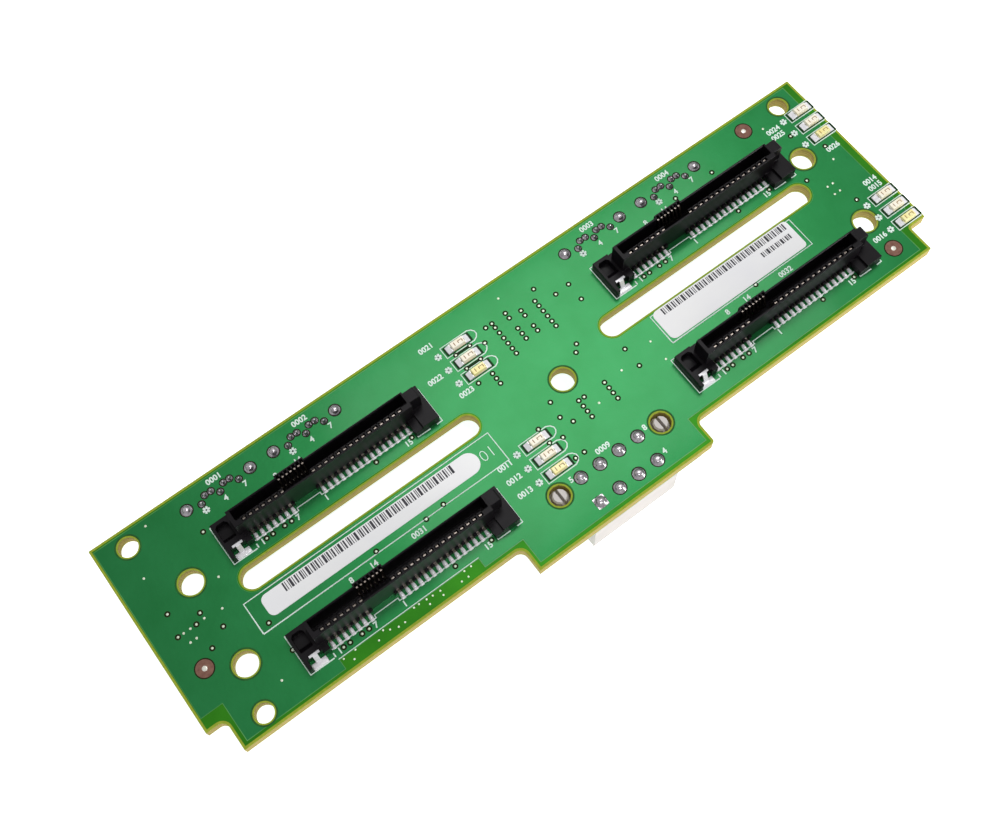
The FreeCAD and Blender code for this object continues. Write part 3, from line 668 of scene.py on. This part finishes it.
# Contacts of the drive sockets and their solder
# Stamped from tinned copper strip, bent to shape and pressed into the moulding. Each
# foot is soldered to its pad, and the solder wets up round the toe of the foot.

SECOND_FEET = [8.395 + k * 0.8 for k in range(7)]
CLIP_X = -3.35
NOSE_Z = 4.2                   # bend of a contact that meets the drive's plug
NOSE_HALF, TIP_UP = 0.2, 1     # the bend's reach, and the tip's height over it
NOSE_LEAN = (-0.7, -0.9)       # the second port's noses and tips lean into the slot
TIP_LEAN = (-0.35, -0.25)
# Each shape of solder: half its width, its front, back and height, the share of it that
# is left at the top, and the rounding of its edges.
SOLDER_SHAPES = {"front_pad": (0.38, -0.75, 0.4, 0.12, 0.86, 0.05),
                 "front_foot": (0.34, -0.45, 0.78, 0.42, 0.62, 0.12),
                 "rear_foot": (0.26, 5.3, 6.1, 0.3, 0.7, 0.08),
                 "clip_pad": (1.45, -1.85, -0.6, 0.3, 0.9, 0.09)}

# Tin: soft silver with a warm cast, rubbed bright where the strip was drawn.
tinned_strip = new_finish("tinned_copper_strip", "#968C84", 0.3, Metallic=1.0)
mottle(tinned_strip, 0.7, "#857B73", "#A89E96")
unevenness(tinned_strip, 0.3, 0.004)

# Reflowed solder: brighter than the strip, with a smooth rippled skin. Its near-white,
# mostly matt colour is partly painted highlight, for the glints of the lights on solder.
reflowed_painted_highlight = new_finish("reflowed_solder", "#F4F3F7", 0.22, Metallic=0.12)
mottle(reflowed_painted_highlight, 0.5, "#EAE8EE", "#FDFDFF")
unevenness(reflowed_painted_highlight, 0.35, 0.02)

# The second port's contacts lean out of the rear wall into the slot, so that more of
# them shows.
for name in SOCKETS:
    for contacts in ("signal_contacts", "power_contacts"):
        dress(nodes[name + "_socket_" + contacts], tinned_strip)
    # The clip takes the solder's finish, with its painted highlight.
    dress(nodes[name + "_socket_hold_down_clip"], reflowed_painted_highlight)
    second_port = name + "_socket_second_port_contacts"
    springs = merged_copy(second_port, name + "_socket_second_port_springs")
    open_mesh(springs, "VERT")
    pick_corners(springs, lambda p: abs(p.z - BOARD_FRONT - NOSE_Z) < NOSE_HALF)
    move_picked(0, *NOSE_LEAN)
    pick_corners(springs, lambda p: p.z - BOARD_FRONT > NOSE_Z + TIP_UP)
    move_picked(0, *TIP_LEAN)
    close_mesh()
    ride(springs, tinned_strip)
    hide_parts(second_port)


def wetted(name, half, front, back, height, share, edge):
    """Solder over a pad or a foot: wide at the pad, drawn in and rounded at its top."""
    toe = block(name, -half, half, front, back, 0, height)
    open_top(toe)
    bpy.ops.transform.resize(value=(share, share, 1))
    pick_all()
    bpy.ops.mesh.bevel(offset=edge * MM, segments=3, affect="EDGES")
    close_mesh()
    only(toe)
    bpy.ops.object.shade_smooth_by_angle(angle=math.radians(50))
    return toe


# Solder of the feet, in the finish with painted highlight.
solder_shapes = {name: wetted(name, *sizes) for name, sizes in SOLDER_SHAPES.items()}
feet = [copied(solder_shapes[shape], x) for x in SIGNAL_FEET + POWER_FEET
        for shape in ("front_pad", "front_foot")]
feet += [copied(solder_shapes["rear_foot"], x) for x in SECOND_FEET]
feet.append(copied(solder_shapes["clip_pad"], CLIP_X))
for shape in solder_shapes.values():
    bpy.data.objects.remove(shape)
at_sockets(joined("socket_foot_solder", feet), "_socket_solder", reflowed_painted_highlight)


# Printed lines and numbers
# White ink, screen printed over the mask: outlines of the parts, marks at their first
# pins and plain numbers.

INK_LINE = 0.27
STAR_LINE, THIN_LINE, LIGHT_LINE = 0.46, 0.16, 0.24
INK_LEVEL = BOARD_FRONT + POUR_TOP
STAR_R = 0.68
STAR_OUT = 1.2                  # from a light's outline to the star beside it
NUMBER_H = 1.05
DIGIT_SHARE = 0.7               # height of a digit in the font's size
LIGHTS = ["%s_%d" % (group, k) for group in
          ("upper_middle", "lower_middle", "upper_edge", "lower_edge") for k in (1, 2, 3)]
DATA_HEADERS = ["data_header_%d_" % k for k in (1, 2, 3, 4)]
LABEL_FRAMES = ((-8.2, 42.7, 8.3, 14.6), (79.6, 113.0, 8.3, 14.8))
MIDDLE_OUTLINE = ((2.9, -1.2), (-3.1, -1.2), (-3.1, 1.2), (2.9, 1.2), (3.6, 0.85),
                  (4.0, 0.3), (4.0, -0.3), (3.6, -0.85), (2.9, -1.2))
EDGE_OUTLINE = ((2.5, -1.15), (-3.0, -1.15), (-3.0, 1.15), (2.5, 1.15))
NUMBERS = ((43.5, 34.4, "0021"), (41.3, 28.3, "0022"), (44.4, 23.0, "0023"),
           (41.4, 7.7, "0011"), (41.2, 4.8, "0012"), (41.3, 1.7, "0013"),
           (123.7, 31.4, "0024"), (123.7, 29.9, "0025"), (130.3, 21.7, "0026"),
           (130.7, 11.9, "0014"), (130.7, 10.4, "0015"), (123.8, 1.65, "0016"),
           (22.6, 7.0, "0031"), (105.2, 6.9, "0032"), (57.0, 0.1, "0009"),
           (49.0, -1.2, "5"), (65.2, -1.3, "8"), (65.2, -6.8, "4"))
HEADER_STAR = (-3.7, -2.0)      # marks at a data header, from its middle
HEADER_PINS = ((0.2, -2.2, 4), (4.3, -2.0, 7))
HEADER_NUMBER = (0.3, 2.1)
REAR_MARGIN = 0.5               # between a header and its outline on the rear face
REAR_NUMBER_OUT, REAR_NUMBER_H = 1.8, 1.3
REAR_STAR = (1.6, 0.6)


def ink_line(*points, width=INK_LINE):
    """A printed line through points in millimetres."""
    track = bpy.data.curves.new("ink_line", "CURVE")
    track.dimensions = "3D"
    track.bevel_depth = width / 2 * MM
    track.bevel_resolution = 1
    track.use_fill_caps = True
    spline = track.splines.new("POLY")
    spline.points.add(len(points) - 1)
    for point, (x, y) in zip(spline.points, points):
        point.co = (x * MM, y * MM, 0, 1)
    line = bpy.data.objects.new("ink_line", track)
    bpy.context.scene.collection.objects.link(line)
    return line


def ink_number(number, x, y, height=NUMBER_H, bold=0.05):
    """A printed number, centred on a place in millimetres."""
    bpy.ops.object.text_add(location=(x * MM, y * MM, 0))
    text = bpy.context.active_object
    text.data.body = str(number)
    text.data.size = height / DIGIT_SHARE * MM
    text.data.extrude = 0.04 * MM
    text.data.offset = bold * MM
    text.data.resolution_u = 3
    text.data.align_x = "CENTER"
    text.data.align_y = "CENTER"
    return text


def ink_star(x, y):
    """Three crossed strokes beside a first pin."""
    turns = [math.pi * k / 3 for k in range(3)]
    return [ink_line((x - STAR_R * math.cos(a), y - STAR_R * math.sin(a)),
                     (x + STAR_R * math.cos(a), y + STAR_R * math.sin(a)), width=STAR_LINE)
            for a in turns]


def printed(name, strokes):
    """Strokes and numbers pressed to the thickness of ink, as one piece at z = 0."""
    deselect()
    for stroke in strokes:
        stroke.select_set(True)
    bpy.context.view_layer.objects.active = strokes[0]
    bpy.ops.object.convert(target="MESH")
    for stroke in strokes:
        only(stroke)
        bpy.ops.object.transform_apply(location=True, rotation=True, scale=True)
    return flattened(joined(name, strokes), 0.25)


# Ink: thin white, cooled by the green under it.
ink = new_finish("white_screen_ink", "#E9FAF2", 0.55, IOR=1.5)
mottle(ink, 0.6, "#D9F4E6", "#F6FFFB")

socket_print = [
    ink_line((-1.0, -1.9), (-5.7, -1.9), (-5.7, 6.0), (-5.0, 6.0)),
    ink_line((-0.75, -1.9), (-0.75, -1.1)),
    ink_line((-0.6, -0.5), (8.3, -0.5), (8.3, 0.05), (13.1, 0.05), (13.1, -0.5),
             (32.3, -0.5)),
    ink_line((32.6, -1.2), (32.6, -1.95), (35.2, -1.95)),
    ink_line((36.6, -1.95), (37.75, -1.95), (37.75, 5.6)),
    ink_number(1, 0.4, -1.5), ink_number(7, 7.6, -1.5), ink_number(1, 13.5, -1.5),
    ink_number(15, 30.6, -1.9), ink_number(8, 8.6, 7.2), ink_number(14, 13.2, 7.2)]
at_sockets(printed("socket_print", socket_print), "_socket_print", ink, level=INK_LEVEL)


def corners(x0, x1, y0, y1):
    """A closed line round a box."""
    return (x0, y0), (x1, y0), (x1, y1), (x0, y1), (x0, y0)


def middle_mm(node):
    """The middle of a CAD node's box, seen from the front."""
    low, high = box_mm(node)
    return (low.x + high.x) / 2, (low.y + high.y) / 2


board_print = [ink_line(*marked(corners(*sides))) for sides in LABEL_FRAMES]
board_print += [ink_line(*marked([(-0.6, -2.65), (28, -2.65)]), width=THIN_LINE),
                ink_number("01", MARKS_X + 40.4, MARKS_Y + 11.4, 2.2, -0.07)]
for light in LIGHTS:
    x, y = middle_mm("status_light_" + light)
    outline = [(x + dx, y + dy)
               for dx, dy in (MIDDLE_OUTLINE if "middle" in light else EDGE_OUTLINE)]
    board_print.append(ink_line(*outline, width=LIGHT_LINE))
    board_print += ink_star(outline[1][0] - STAR_OUT, y)
for x, y, number in NUMBERS:
    board_print.append(ink_number(number, MARKS_X + x, MARKS_Y + y))
for k, header in enumerate(DATA_HEADERS):
    x, y = middle_mm(header + "housing")
    board_print += ink_star(x + HEADER_STAR[0], y + HEADER_STAR[1])
    board_print += [ink_number(pin, x + dx, y + dy) for dx, dy, pin in HEADER_PINS]
    board_print.append(ink_number("000%d" % (k + 1), x + HEADER_NUMBER[0], y + HEADER_NUMBER[1]))
ride(shifted(printed("front_print", board_print), z=INK_LEVEL), ink)

# Outlines of the headers and their numbers on the rear face. They are drawn as seen from
# behind and then turned over with the board.
rear_print = []
for k, header in enumerate(DATA_HEADERS + ["power_header_"]):
    low, high = box_mm(header + "housing")
    rear_print.append(ink_line(*corners(-high.x - REAR_MARGIN, -low.x + REAR_MARGIN,
                                        low.y - REAR_MARGIN, high.y + REAR_MARGIN)))
    number_y = low.y - REAR_NUMBER_OUT if k < 4 else high.y + REAR_NUMBER_OUT
    rear_print.append(ink_number("01%02d" % (k + 1), -(low.x + high.x) / 2, number_y,
                                 REAR_NUMBER_H))
    rear_print += ink_star(-high.x - REAR_STAR[0], low.y + REAR_STAR[1])
rear_print = printed("rear_print", rear_print)
rear_print.data.transform(Matrix.Rotation(math.pi, 4, "Y"))
ride(shifted(rear_print, z=-POUR_TOP), ink)


# Status lights
# A chip of light-coloured laminate with tinned ends carries a tiny light-giving
# crystal under a block of cast resin. Each end is soldered to its pad.

LIGHT_HALF, LIGHT_SIDE = 1.6, 0.8
LIGHT_BASE = 0.45
RESIN_HALF, RESIN_SIDE, RESIN_H = 1.42, 0.75, 0.55
RESIN_TOP = LIGHT_BASE + RESIN_H
RESIN_DRAWN_IN = (0.92, 0.86, 1)
RESIN_EDGE, FILLET_EDGE = 0.07, 0.08
CRYSTAL_MARKS = ((-0.75, -0.58, -0.4, 0.35), (0.05, 0.22, -0.28, 0.08),   # left, right,
                 (0.05, 1.05, 0.08, 0.22), (0.88, 1.05, -0.35, 0.08))     # front, back
END_CAP, END_CAP_H = 0.3, 0.48
CASTELLATION_R = 0.3           # half-round notch in each plated end
LIGHT_PAD_HALF = 2.4           # pads and their solder reach this far out
FILLET_IN, FILLET_H, FILLET_TOE = 1.5, 0.5, 0.1   # its start, and its height at its ends
WINDOW_HALF, WINDOW_SIDE = 2.85, 0.98
WINDOW_TOP = POUR_TOP + 0.006
STRIP_LEFT, STRIP_RIGHT = 46.8, 50.5
STRIPS_Y, STRIP_W = (29.83, 26.55), 0.55
LIGHT_EDGE = 0.03
SMALL_CORNER = 0.1

# Chip base: cream laminate.
light_base_finish = new_finish("cream_chip_laminate", "#EFE3C2", 0.5, IOR=1.5)
mottle(light_base_finish, 0.4, "#E6D7B0", "#F6EDD4")

# Resin: clear in the third light of a row, which shows yellow, and milky in the others.
clear_resin = new_finish("clear_cast_resin", "#FFF3A0", 0.2, IOR=1.5)
mottle(clear_resin, 0.9, "#FFEC92", "#FFFCC4")
milky_resin = new_finish("milky_cast_resin", "#FFF2D6", 0.25, IOR=1.5)
mottle(milky_resin, 0.9, "#FFF0D0", "#FFFEF2")

# Crystal and bond wire: they show through the resin as soft brown marks, and are drawn
# level with its face, where the eye sees them.
crystal_finish = new_finish("light_crystal_and_wire", "#8F642C", 0.5)
mottle(crystal_finish, 0.2, "#7A5020", "#A87C40")

# Window in the copper under each light: dark green mask over laminate, darkened
# further with painted shade.
painted_shade_window = new_finish("mask_in_pad_window", "#0D2A14", 0.45, IOR=1.5, Specular_IOR_Level=0.1)
mottle(painted_shade_window, 1.0, "#0C2A12", "#1A461F")


def notched_end(piece, x):
    """Cuts the half-round plated notch in one end of the chip base."""
    bpy.ops.mesh.primitive_cylinder_add(vertices=20, radius=CASTELLATION_R * MM, depth=4 * MM,
                                        location=(x * MM, 0, 0))
    cut_out(piece, added("castellation_cutter"))


light_base = block("light_base", -LIGHT_HALF + END_CAP, LIGHT_HALF - END_CAP, -LIGHT_SIDE,
                   LIGHT_SIDE, 0, LIGHT_BASE, edge=LIGHT_EDGE)
light_ends = [block("light_end", x, x + END_CAP, -LIGHT_SIDE, LIGHT_SIDE, 0, END_CAP_H,
                    edge=LIGHT_EDGE) for x in (-LIGHT_HALF, LIGHT_HALF - END_CAP)]
for end, x in zip(light_ends, (-LIGHT_HALF, LIGHT_HALF)):
    notched_end(end, x)
light_resin = block("light_resin", -RESIN_HALF, RESIN_HALF, -RESIN_SIDE, RESIN_SIDE,
                    LIGHT_BASE, RESIN_TOP, corner=SMALL_CORNER)
open_top(light_resin)
bpy.ops.transform.resize(value=RESIN_DRAWN_IN)
bpy.ops.mesh.bevel(offset=RESIN_EDGE * MM, segments=2)
close_mesh()
light_marks = [block("mark", *sides, RESIN_TOP - 0.05, RESIN_TOP + 0.006, edge=0.02)
               for sides in CRYSTAL_MARKS]
light_marks = joined("light_marks", light_marks)
light_solder = []
for side in (-1, 1):
    fillet = block("light_fillet", FILLET_IN, LIGHT_PAD_HALF, -LIGHT_SIDE, LIGHT_SIDE, 0, FILLET_H)
    open_mesh(fillet, "EDGE")
    pick_edges(fillet, lambda a, b: min(a.z, b.z) > FILLET_H - 0.01
               and min(a.x, b.x) > LIGHT_PAD_HALF - 0.1)
    move_picked(z=FILLET_TOE - FILLET_H)
    pick_all()
    bpy.ops.mesh.bevel(offset=FILLET_EDGE * MM, segments=2)
    if side < 0:
        pick_all()
        bpy.ops.transform.rotate(value=math.pi, orient_axis="Z", center_override=(0, 0, 0))
    close_mesh()
    light_solder.append(fillet)
light_metal = joined("light_metal", light_solder + light_ends)
light_window = block("light_window", -WINDOW_HALF, WINDOW_HALF, -WINDOW_SIDE, WINDOW_SIDE, 0,
                     WINDOW_TOP, corner=SMALL_CORNER)
# Each light's solder has painted highlight, and its window painted shade.
for light in LIGHTS:
    x, y = middle_mm("status_light_" + light)
    resin_finish = clear_resin if light.endswith("3") else milky_resin
    for part, finish, slot in ((light_base, light_base_finish, "light_resin"),
                               (light_metal, reflowed_painted_highlight, "solder"),
                               (light_resin, resin_finish, "light_resin"),
                               (light_marks, crystal_finish, "light_resin"),
                               (light_window, painted_shade_window, "board_laminate")):
        kind = part.name.split("_")[1]
        piece = named(copied(part, x, y, BOARD_FRONT), "light_%s_%s" % (light, kind))
        ride(piece, finish)
        if part is light_base:
            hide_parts("status_light_" + light)
for part in (light_base, light_metal, light_resin, light_marks, light_window):
    bpy.data.objects.remove(part)

# Strips without copper between the upper lights in the middle, in the window's dark
# green with its painted shade.
strips = [block("strip", MARKS_X + STRIP_LEFT, MARKS_X + STRIP_RIGHT, MARKS_Y + y,
                MARKS_Y + y + STRIP_W, BOARD_FRONT, BOARD_FRONT + WINDOW_TOP,
                corner=SMALL_CORNER) for y in STRIPS_Y]
ride(joined("light_strips", strips), painted_shade_window)


# Labels
# White film with a generic pattern of bars, stuck on between the sockets. The print
# holds no words.

BAR_WIDTHS = (0.3, 0.15, 0.15, 0.45, 0.15, 0.3, 0.15)
BAR_GAPS = (0.2, 0.35, 0.15, 0.2, 0.3)
BAR_H, BAR_SUNK = 0.008, 0.002
LEFT_ROUND = 1.2                # corners at the left-hand end of both labels
# Each label: its node, corners at the right-hand end, and its rows of bars.
LABELS = (("left_label", 2.05, [(4.4, 39.5, 2.35, 4.0)]),
          ("right_label", 0.8, [(2.0, 31.2, 4.9, 6.3), (24.0, 30.6, 2.9, 4.0)]))

# Film: smooth white with a silky gloss.
film = new_finish("white_label_film", "#FDFDFF", 0.4, IOR=1.5)
mottle(film, 8, "#F9F9FC", "#FFFFFF")
unevenness(film, 4, 0.02)

# Bars: thermal print, a dull grey-black.
print_black = new_finish("thermal_print", "#2C2C34", 0.6)
mottle(print_black, 1.2, "#1E1E26", "#3C3C46")


def label_bars(x0, x1, y0, y1):
    """A row of bars of varied widths, as blocks between two corners."""
    bars = []
    x, k = x0, 0
    while x < x1:
        width = BAR_WIDTHS[k % len(BAR_WIDTHS)]
        bars.append(block("bar", x, x + width, y0, y1, 0, BAR_H, edge=0.002))
        x += width + BAR_GAPS[k % len(BAR_GAPS)]
        k += 1
    return bars


for node, right_round, rows in LABELS:
    low, high = box_mm(node)
    label = block(node + "_film", low.x, high.x, low.y, high.y, BOARD_FRONT + 0.01, high.z)
    open_mesh(label, "EDGE")
    pick_edges(label, lambda a, b: (a - b).xy.length < 1e-4 and a.x > low.x + 1)
    bpy.ops.mesh.bevel(offset=right_round * MM, segments=8)
    bpy.ops.mesh.select_all(action="DESELECT")
    pick_edges(label, lambda a, b: (a - b).xy.length < 1e-4 and a.x < low.x + 1)
    bpy.ops.mesh.bevel(offset=LEFT_ROUND * MM, segments=6)
    close_mesh()
    ride(label, film)
    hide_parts(node)
    bars = []
    for x0, x1, y0, y1 in rows:
        bars += label_bars(x0, x1, y0, y1)
    ride(shifted(joined(node + "_bars", bars), low.x, low.y, high.z - BAR_SUNK), print_black)


# Solder joints of the headers
# The headers' pins come through from the rear. Wave solder runs up each pin in a
# smooth hollow cone and leaves the pin's cut end just covered.

DATA_JOINT_R, LOCK_JOINT_R, POWER_JOINT_R = 0.62, 1.1, 1.2
PIN_R = {DATA_JOINT_R: 0.22, LOCK_JOINT_R: 0.5, POWER_JOINT_R: 0.6}
JOINT_FOOT = 0.06
COLLAR = 1.15                   # the cone's top is wider than the pin by this much
CONE = ((0.45, 0.1), (0.8, 0.16), (1.0, 0.2))   # share of the way in to the pin, and rise
CAP = ((0.8, 0.12), (0.4, 0.06))                # share of the pin's radius, and rise
DATA_ROWS = (-0.6, 0.5)         # every third contact stands in the lower row
LOCK_OUT = 6.5                  # board locks, from the middle of a data header
POWER_PITCH, POWER_ROWS = 4.2, 5.5
FIRST_PAD_HALF, FIRST_PAD_H = 1.1, 0.09
JOINT_RING_OUT, JOINT_RING_LINE = 0.04, 0.1

# Wave solder: silver-grey, duller and lumpier than reflowed solder.
wave_solder = new_finish("wave_solder", "#C8C4CE", 0.22, Metallic=0.85)
mottle(wave_solder, 0.6, "#958F97", "#DDD7DC")
unevenness(wave_solder, 0.5, 0.05)


def joint(radius):
    """One joint: a cylinder drawn up ring by ring into a hollow cone with a round cap."""
    bpy.ops.mesh.primitive_cylinder_add(vertices=20, radius=radius * MM, depth=JOINT_FOOT * MM,
                                        location=(0, 0, JOINT_FOOT / 2 * MM))
    piece = added("solder_joint")
    open_top(piece)
    now = radius
    pin = PIN_R[radius]
    rings = [(radius + (pin * COLLAR - radius) * share, rise) for share, rise in CONE]
    for wanted, rise in rings + [(pin * share, rise) for share, rise in CAP]:
        bpy.ops.mesh.extrude_region_move(TRANSFORM_OT_translate={"value": (0, 0, rise * MM)})
        bpy.ops.transform.resize(value=(wanted / now, wanted / now, 1))
        now = wanted
    close_mesh()
    only(piece)
    bpy.ops.object.shade_smooth()
    return piece


data_joints, lock_joints = [], []
for header in DATA_HEADERS:
    x, y = middle_mm(header + "housing")
    data_joints += [(x + (pin - 3) * CONTACT_PITCH, y + DATA_ROWS[pin % 3 > 0], BOARD_FRONT)
                    for pin in range(7)]
    lock_joints += [(x - LOCK_OUT, y, BOARD_FRONT), (x + LOCK_OUT, y, BOARD_FRONT)]
header_joints = joined("data_header_joints", [
    repeated("pin_joints", joint(DATA_JOINT_R), data_joints),
    repeated("lock_joints", joint(LOCK_JOINT_R), lock_joints)])
ride(header_joints, wave_solder)
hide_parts("data_header_solder")

low, high = box_mm("power_header_pins")
pin_half = (high.y - low.y - POWER_ROWS) / 2
pin_x, pin_y = low.x + pin_half, low.y + pin_half
power_places = [(pin_x + POWER_PITCH * column, pin_y + POWER_ROWS * row, BOARD_FRONT)
                for row in range(2) for column in range(4)]
power_joints = repeated("power_header_joints", joint(POWER_JOINT_R), power_places)
ride(power_joints, wave_solder)
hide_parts("power_header_solder")
first_pad = block("first_pin_pad", pin_x - FIRST_PAD_HALF, pin_x + FIRST_PAD_HALF,
                  pin_y - FIRST_PAD_HALF, pin_y + FIRST_PAD_HALF, BOARD_FRONT,
                  BOARD_FRONT + FIRST_PAD_H, corner=SMALL_CORNER, edge=0.04)
ride(first_pad, wave_solder)

# Step of the mask round each pad: the same dark ring of painted shade as round the small holes.
joint_rings = []
for radius, places in ((DATA_JOINT_R, data_joints), (LOCK_JOINT_R, lock_joints),
                       (POWER_JOINT_R, power_places[1:])):
    ring = thin_ring("joint_ring", radius + JOINT_RING_OUT, JOINT_RING_LINE, 24)
    joint_rings.append(repeated("rings", flattened(ring, RING_FLAT),
                                [(x, y, z + POUR_TOP) for x, y, z in places]))
ride(joined("joint_rings", joint_rings), ring_shade)


# Headers on the rear face
# Four black headers take the data cables, and a natural white one takes the power
# plug. Both are moulded, with square or flat tinned pins pressed through them.

PEGS = ((-13.8, -16.97), (8.6, -16.97))   # split pegs that hold the white header
PEG_REACH = 2.5                           # all of a peg lies this near its middle
PEG_FROM, PEG_TAPER = 0.05, 0.82          # above the board's rear face they are drawn in
HEADER_EDGE = 0.08

# Natural nylon: warm white, satin from the mould.
nylon = new_finish("natural_nylon", "#CEC8C4", 0.45, IOR=1.53)
mottle(nylon, 5, "#C6C0BB", "#D4CECA")
unevenness(nylon, 0.4, 0.01)

# Tinned square wire: drawn, so it is smooth and bright.
tinned_wire = new_finish("tinned_square_wire", "#CFCBC4", 0.3, Metallic=1.0)
mottle(tinned_wire, 1.0, "#BEB9B0", "#E0DDD6")
dress(nodes["power_header_pins"], tinned_wire)

power_moulding = merged_copy("power_header_housing", "power_header_moulding")
broken_edges(power_moulding, HEADER_EDGE)
open_mesh(power_moulding, "VERT")
for x, y in PEGS:
    pick_corners(power_moulding,
                 lambda p: p.z > PEG_FROM and math.hypot(p.x - x, p.y - y) < PEG_REACH)
    bpy.ops.transform.resize(value=(PEG_TAPER, PEG_TAPER, 1), center_override=(x * MM, y * MM, 0))
close_mesh()
ride(power_moulding, nylon)
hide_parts("power_header_housing")
for header in DATA_HEADERS:
    data_moulding = merged_copy(header + "housing", header + "moulding")
    broken_edges(data_moulding, HEADER_EDGE)
    ride(data_moulding, black_plastic)
    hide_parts(header + "housing")
    dress(nodes[header + "contacts"], tinned_strip)
    dress(nodes[header + "board_locks"], tinned_strip)


# Floor, light and camera
# A pale floor under the board, a large soft light behind it whose reflection
# brightens its middle, a small one in front that lights the sockets' feet, and one at
# the right that lights the board's lower wall.

FLOOR_Z = -10.8
FLOOR_SIDE = 6000
CAMERA_PLACE = (-60.509, -70.404, 214.290)
CAMERA_TURN = (22.006, 1.3236, -36.7815)   # degrees

bpy.ops.mesh.primitive_plane_add(size=FLOOR_SIDE * MM, location=(0, 0, FLOOR_Z * MM))
floor = bpy.context.active_object
floor.name = "floor"
# Paper: matt white. It gives off light of its own, so that it shows as white as the page.
paper = new_finish("white_backdrop_paper", "#F7F7F7", 0.9,
                   Emission_Color=(1, 1, 1, 1), Emission_Strength=0.85)
dress(floor, paper)


def soft_light(name, place, tilt, turn, width, depth, power):
    """A soft light at a place in millimetres, tilted up from facing down and turned."""
    bpy.ops.object.light_add(type="AREA", location=[v * MM for v in place])
    light = bpy.context.active_object
    light.name = name
    light.data.shape = "RECTANGLE"
    light.data.size = width * MM
    light.data.size_y = depth * MM
    light.data.energy = power
    light.rotation_euler = (math.radians(tilt), 0, math.radians(turn))


soft_light("key_light", (128, 131, 400), 0, 0, 250, 130, 0.47)
soft_light("front_light", (-22, -108, 350), 17, 0, 44, 34, 0.2)
soft_light("side_light", (170, -160, 60), 72, 43, 60, 60, 0.15)

world = bpy.context.scene.world or bpy.data.worlds.new("studio")
bpy.context.scene.world = world
world.use_nodes = True
sky = world.node_tree.nodes["Background"]
sky.inputs["Color"].default_value = (1, 1, 1, 1)
sky.inputs["Strength"].default_value = 0.5
bpy.context.scene.view_settings.view_transform = "Standard"

bpy.ops.object.camera_add(location=[v * MM for v in CAMERA_PLACE],
                          rotation=[math.radians(a) for a in CAMERA_TURN])
camera = bpy.context.active_object
camera.data.sensor_width = 36
camera.data.lens = 46.635
camera.data.clip_start = 0.01
bpy.context.scene.camera = camera
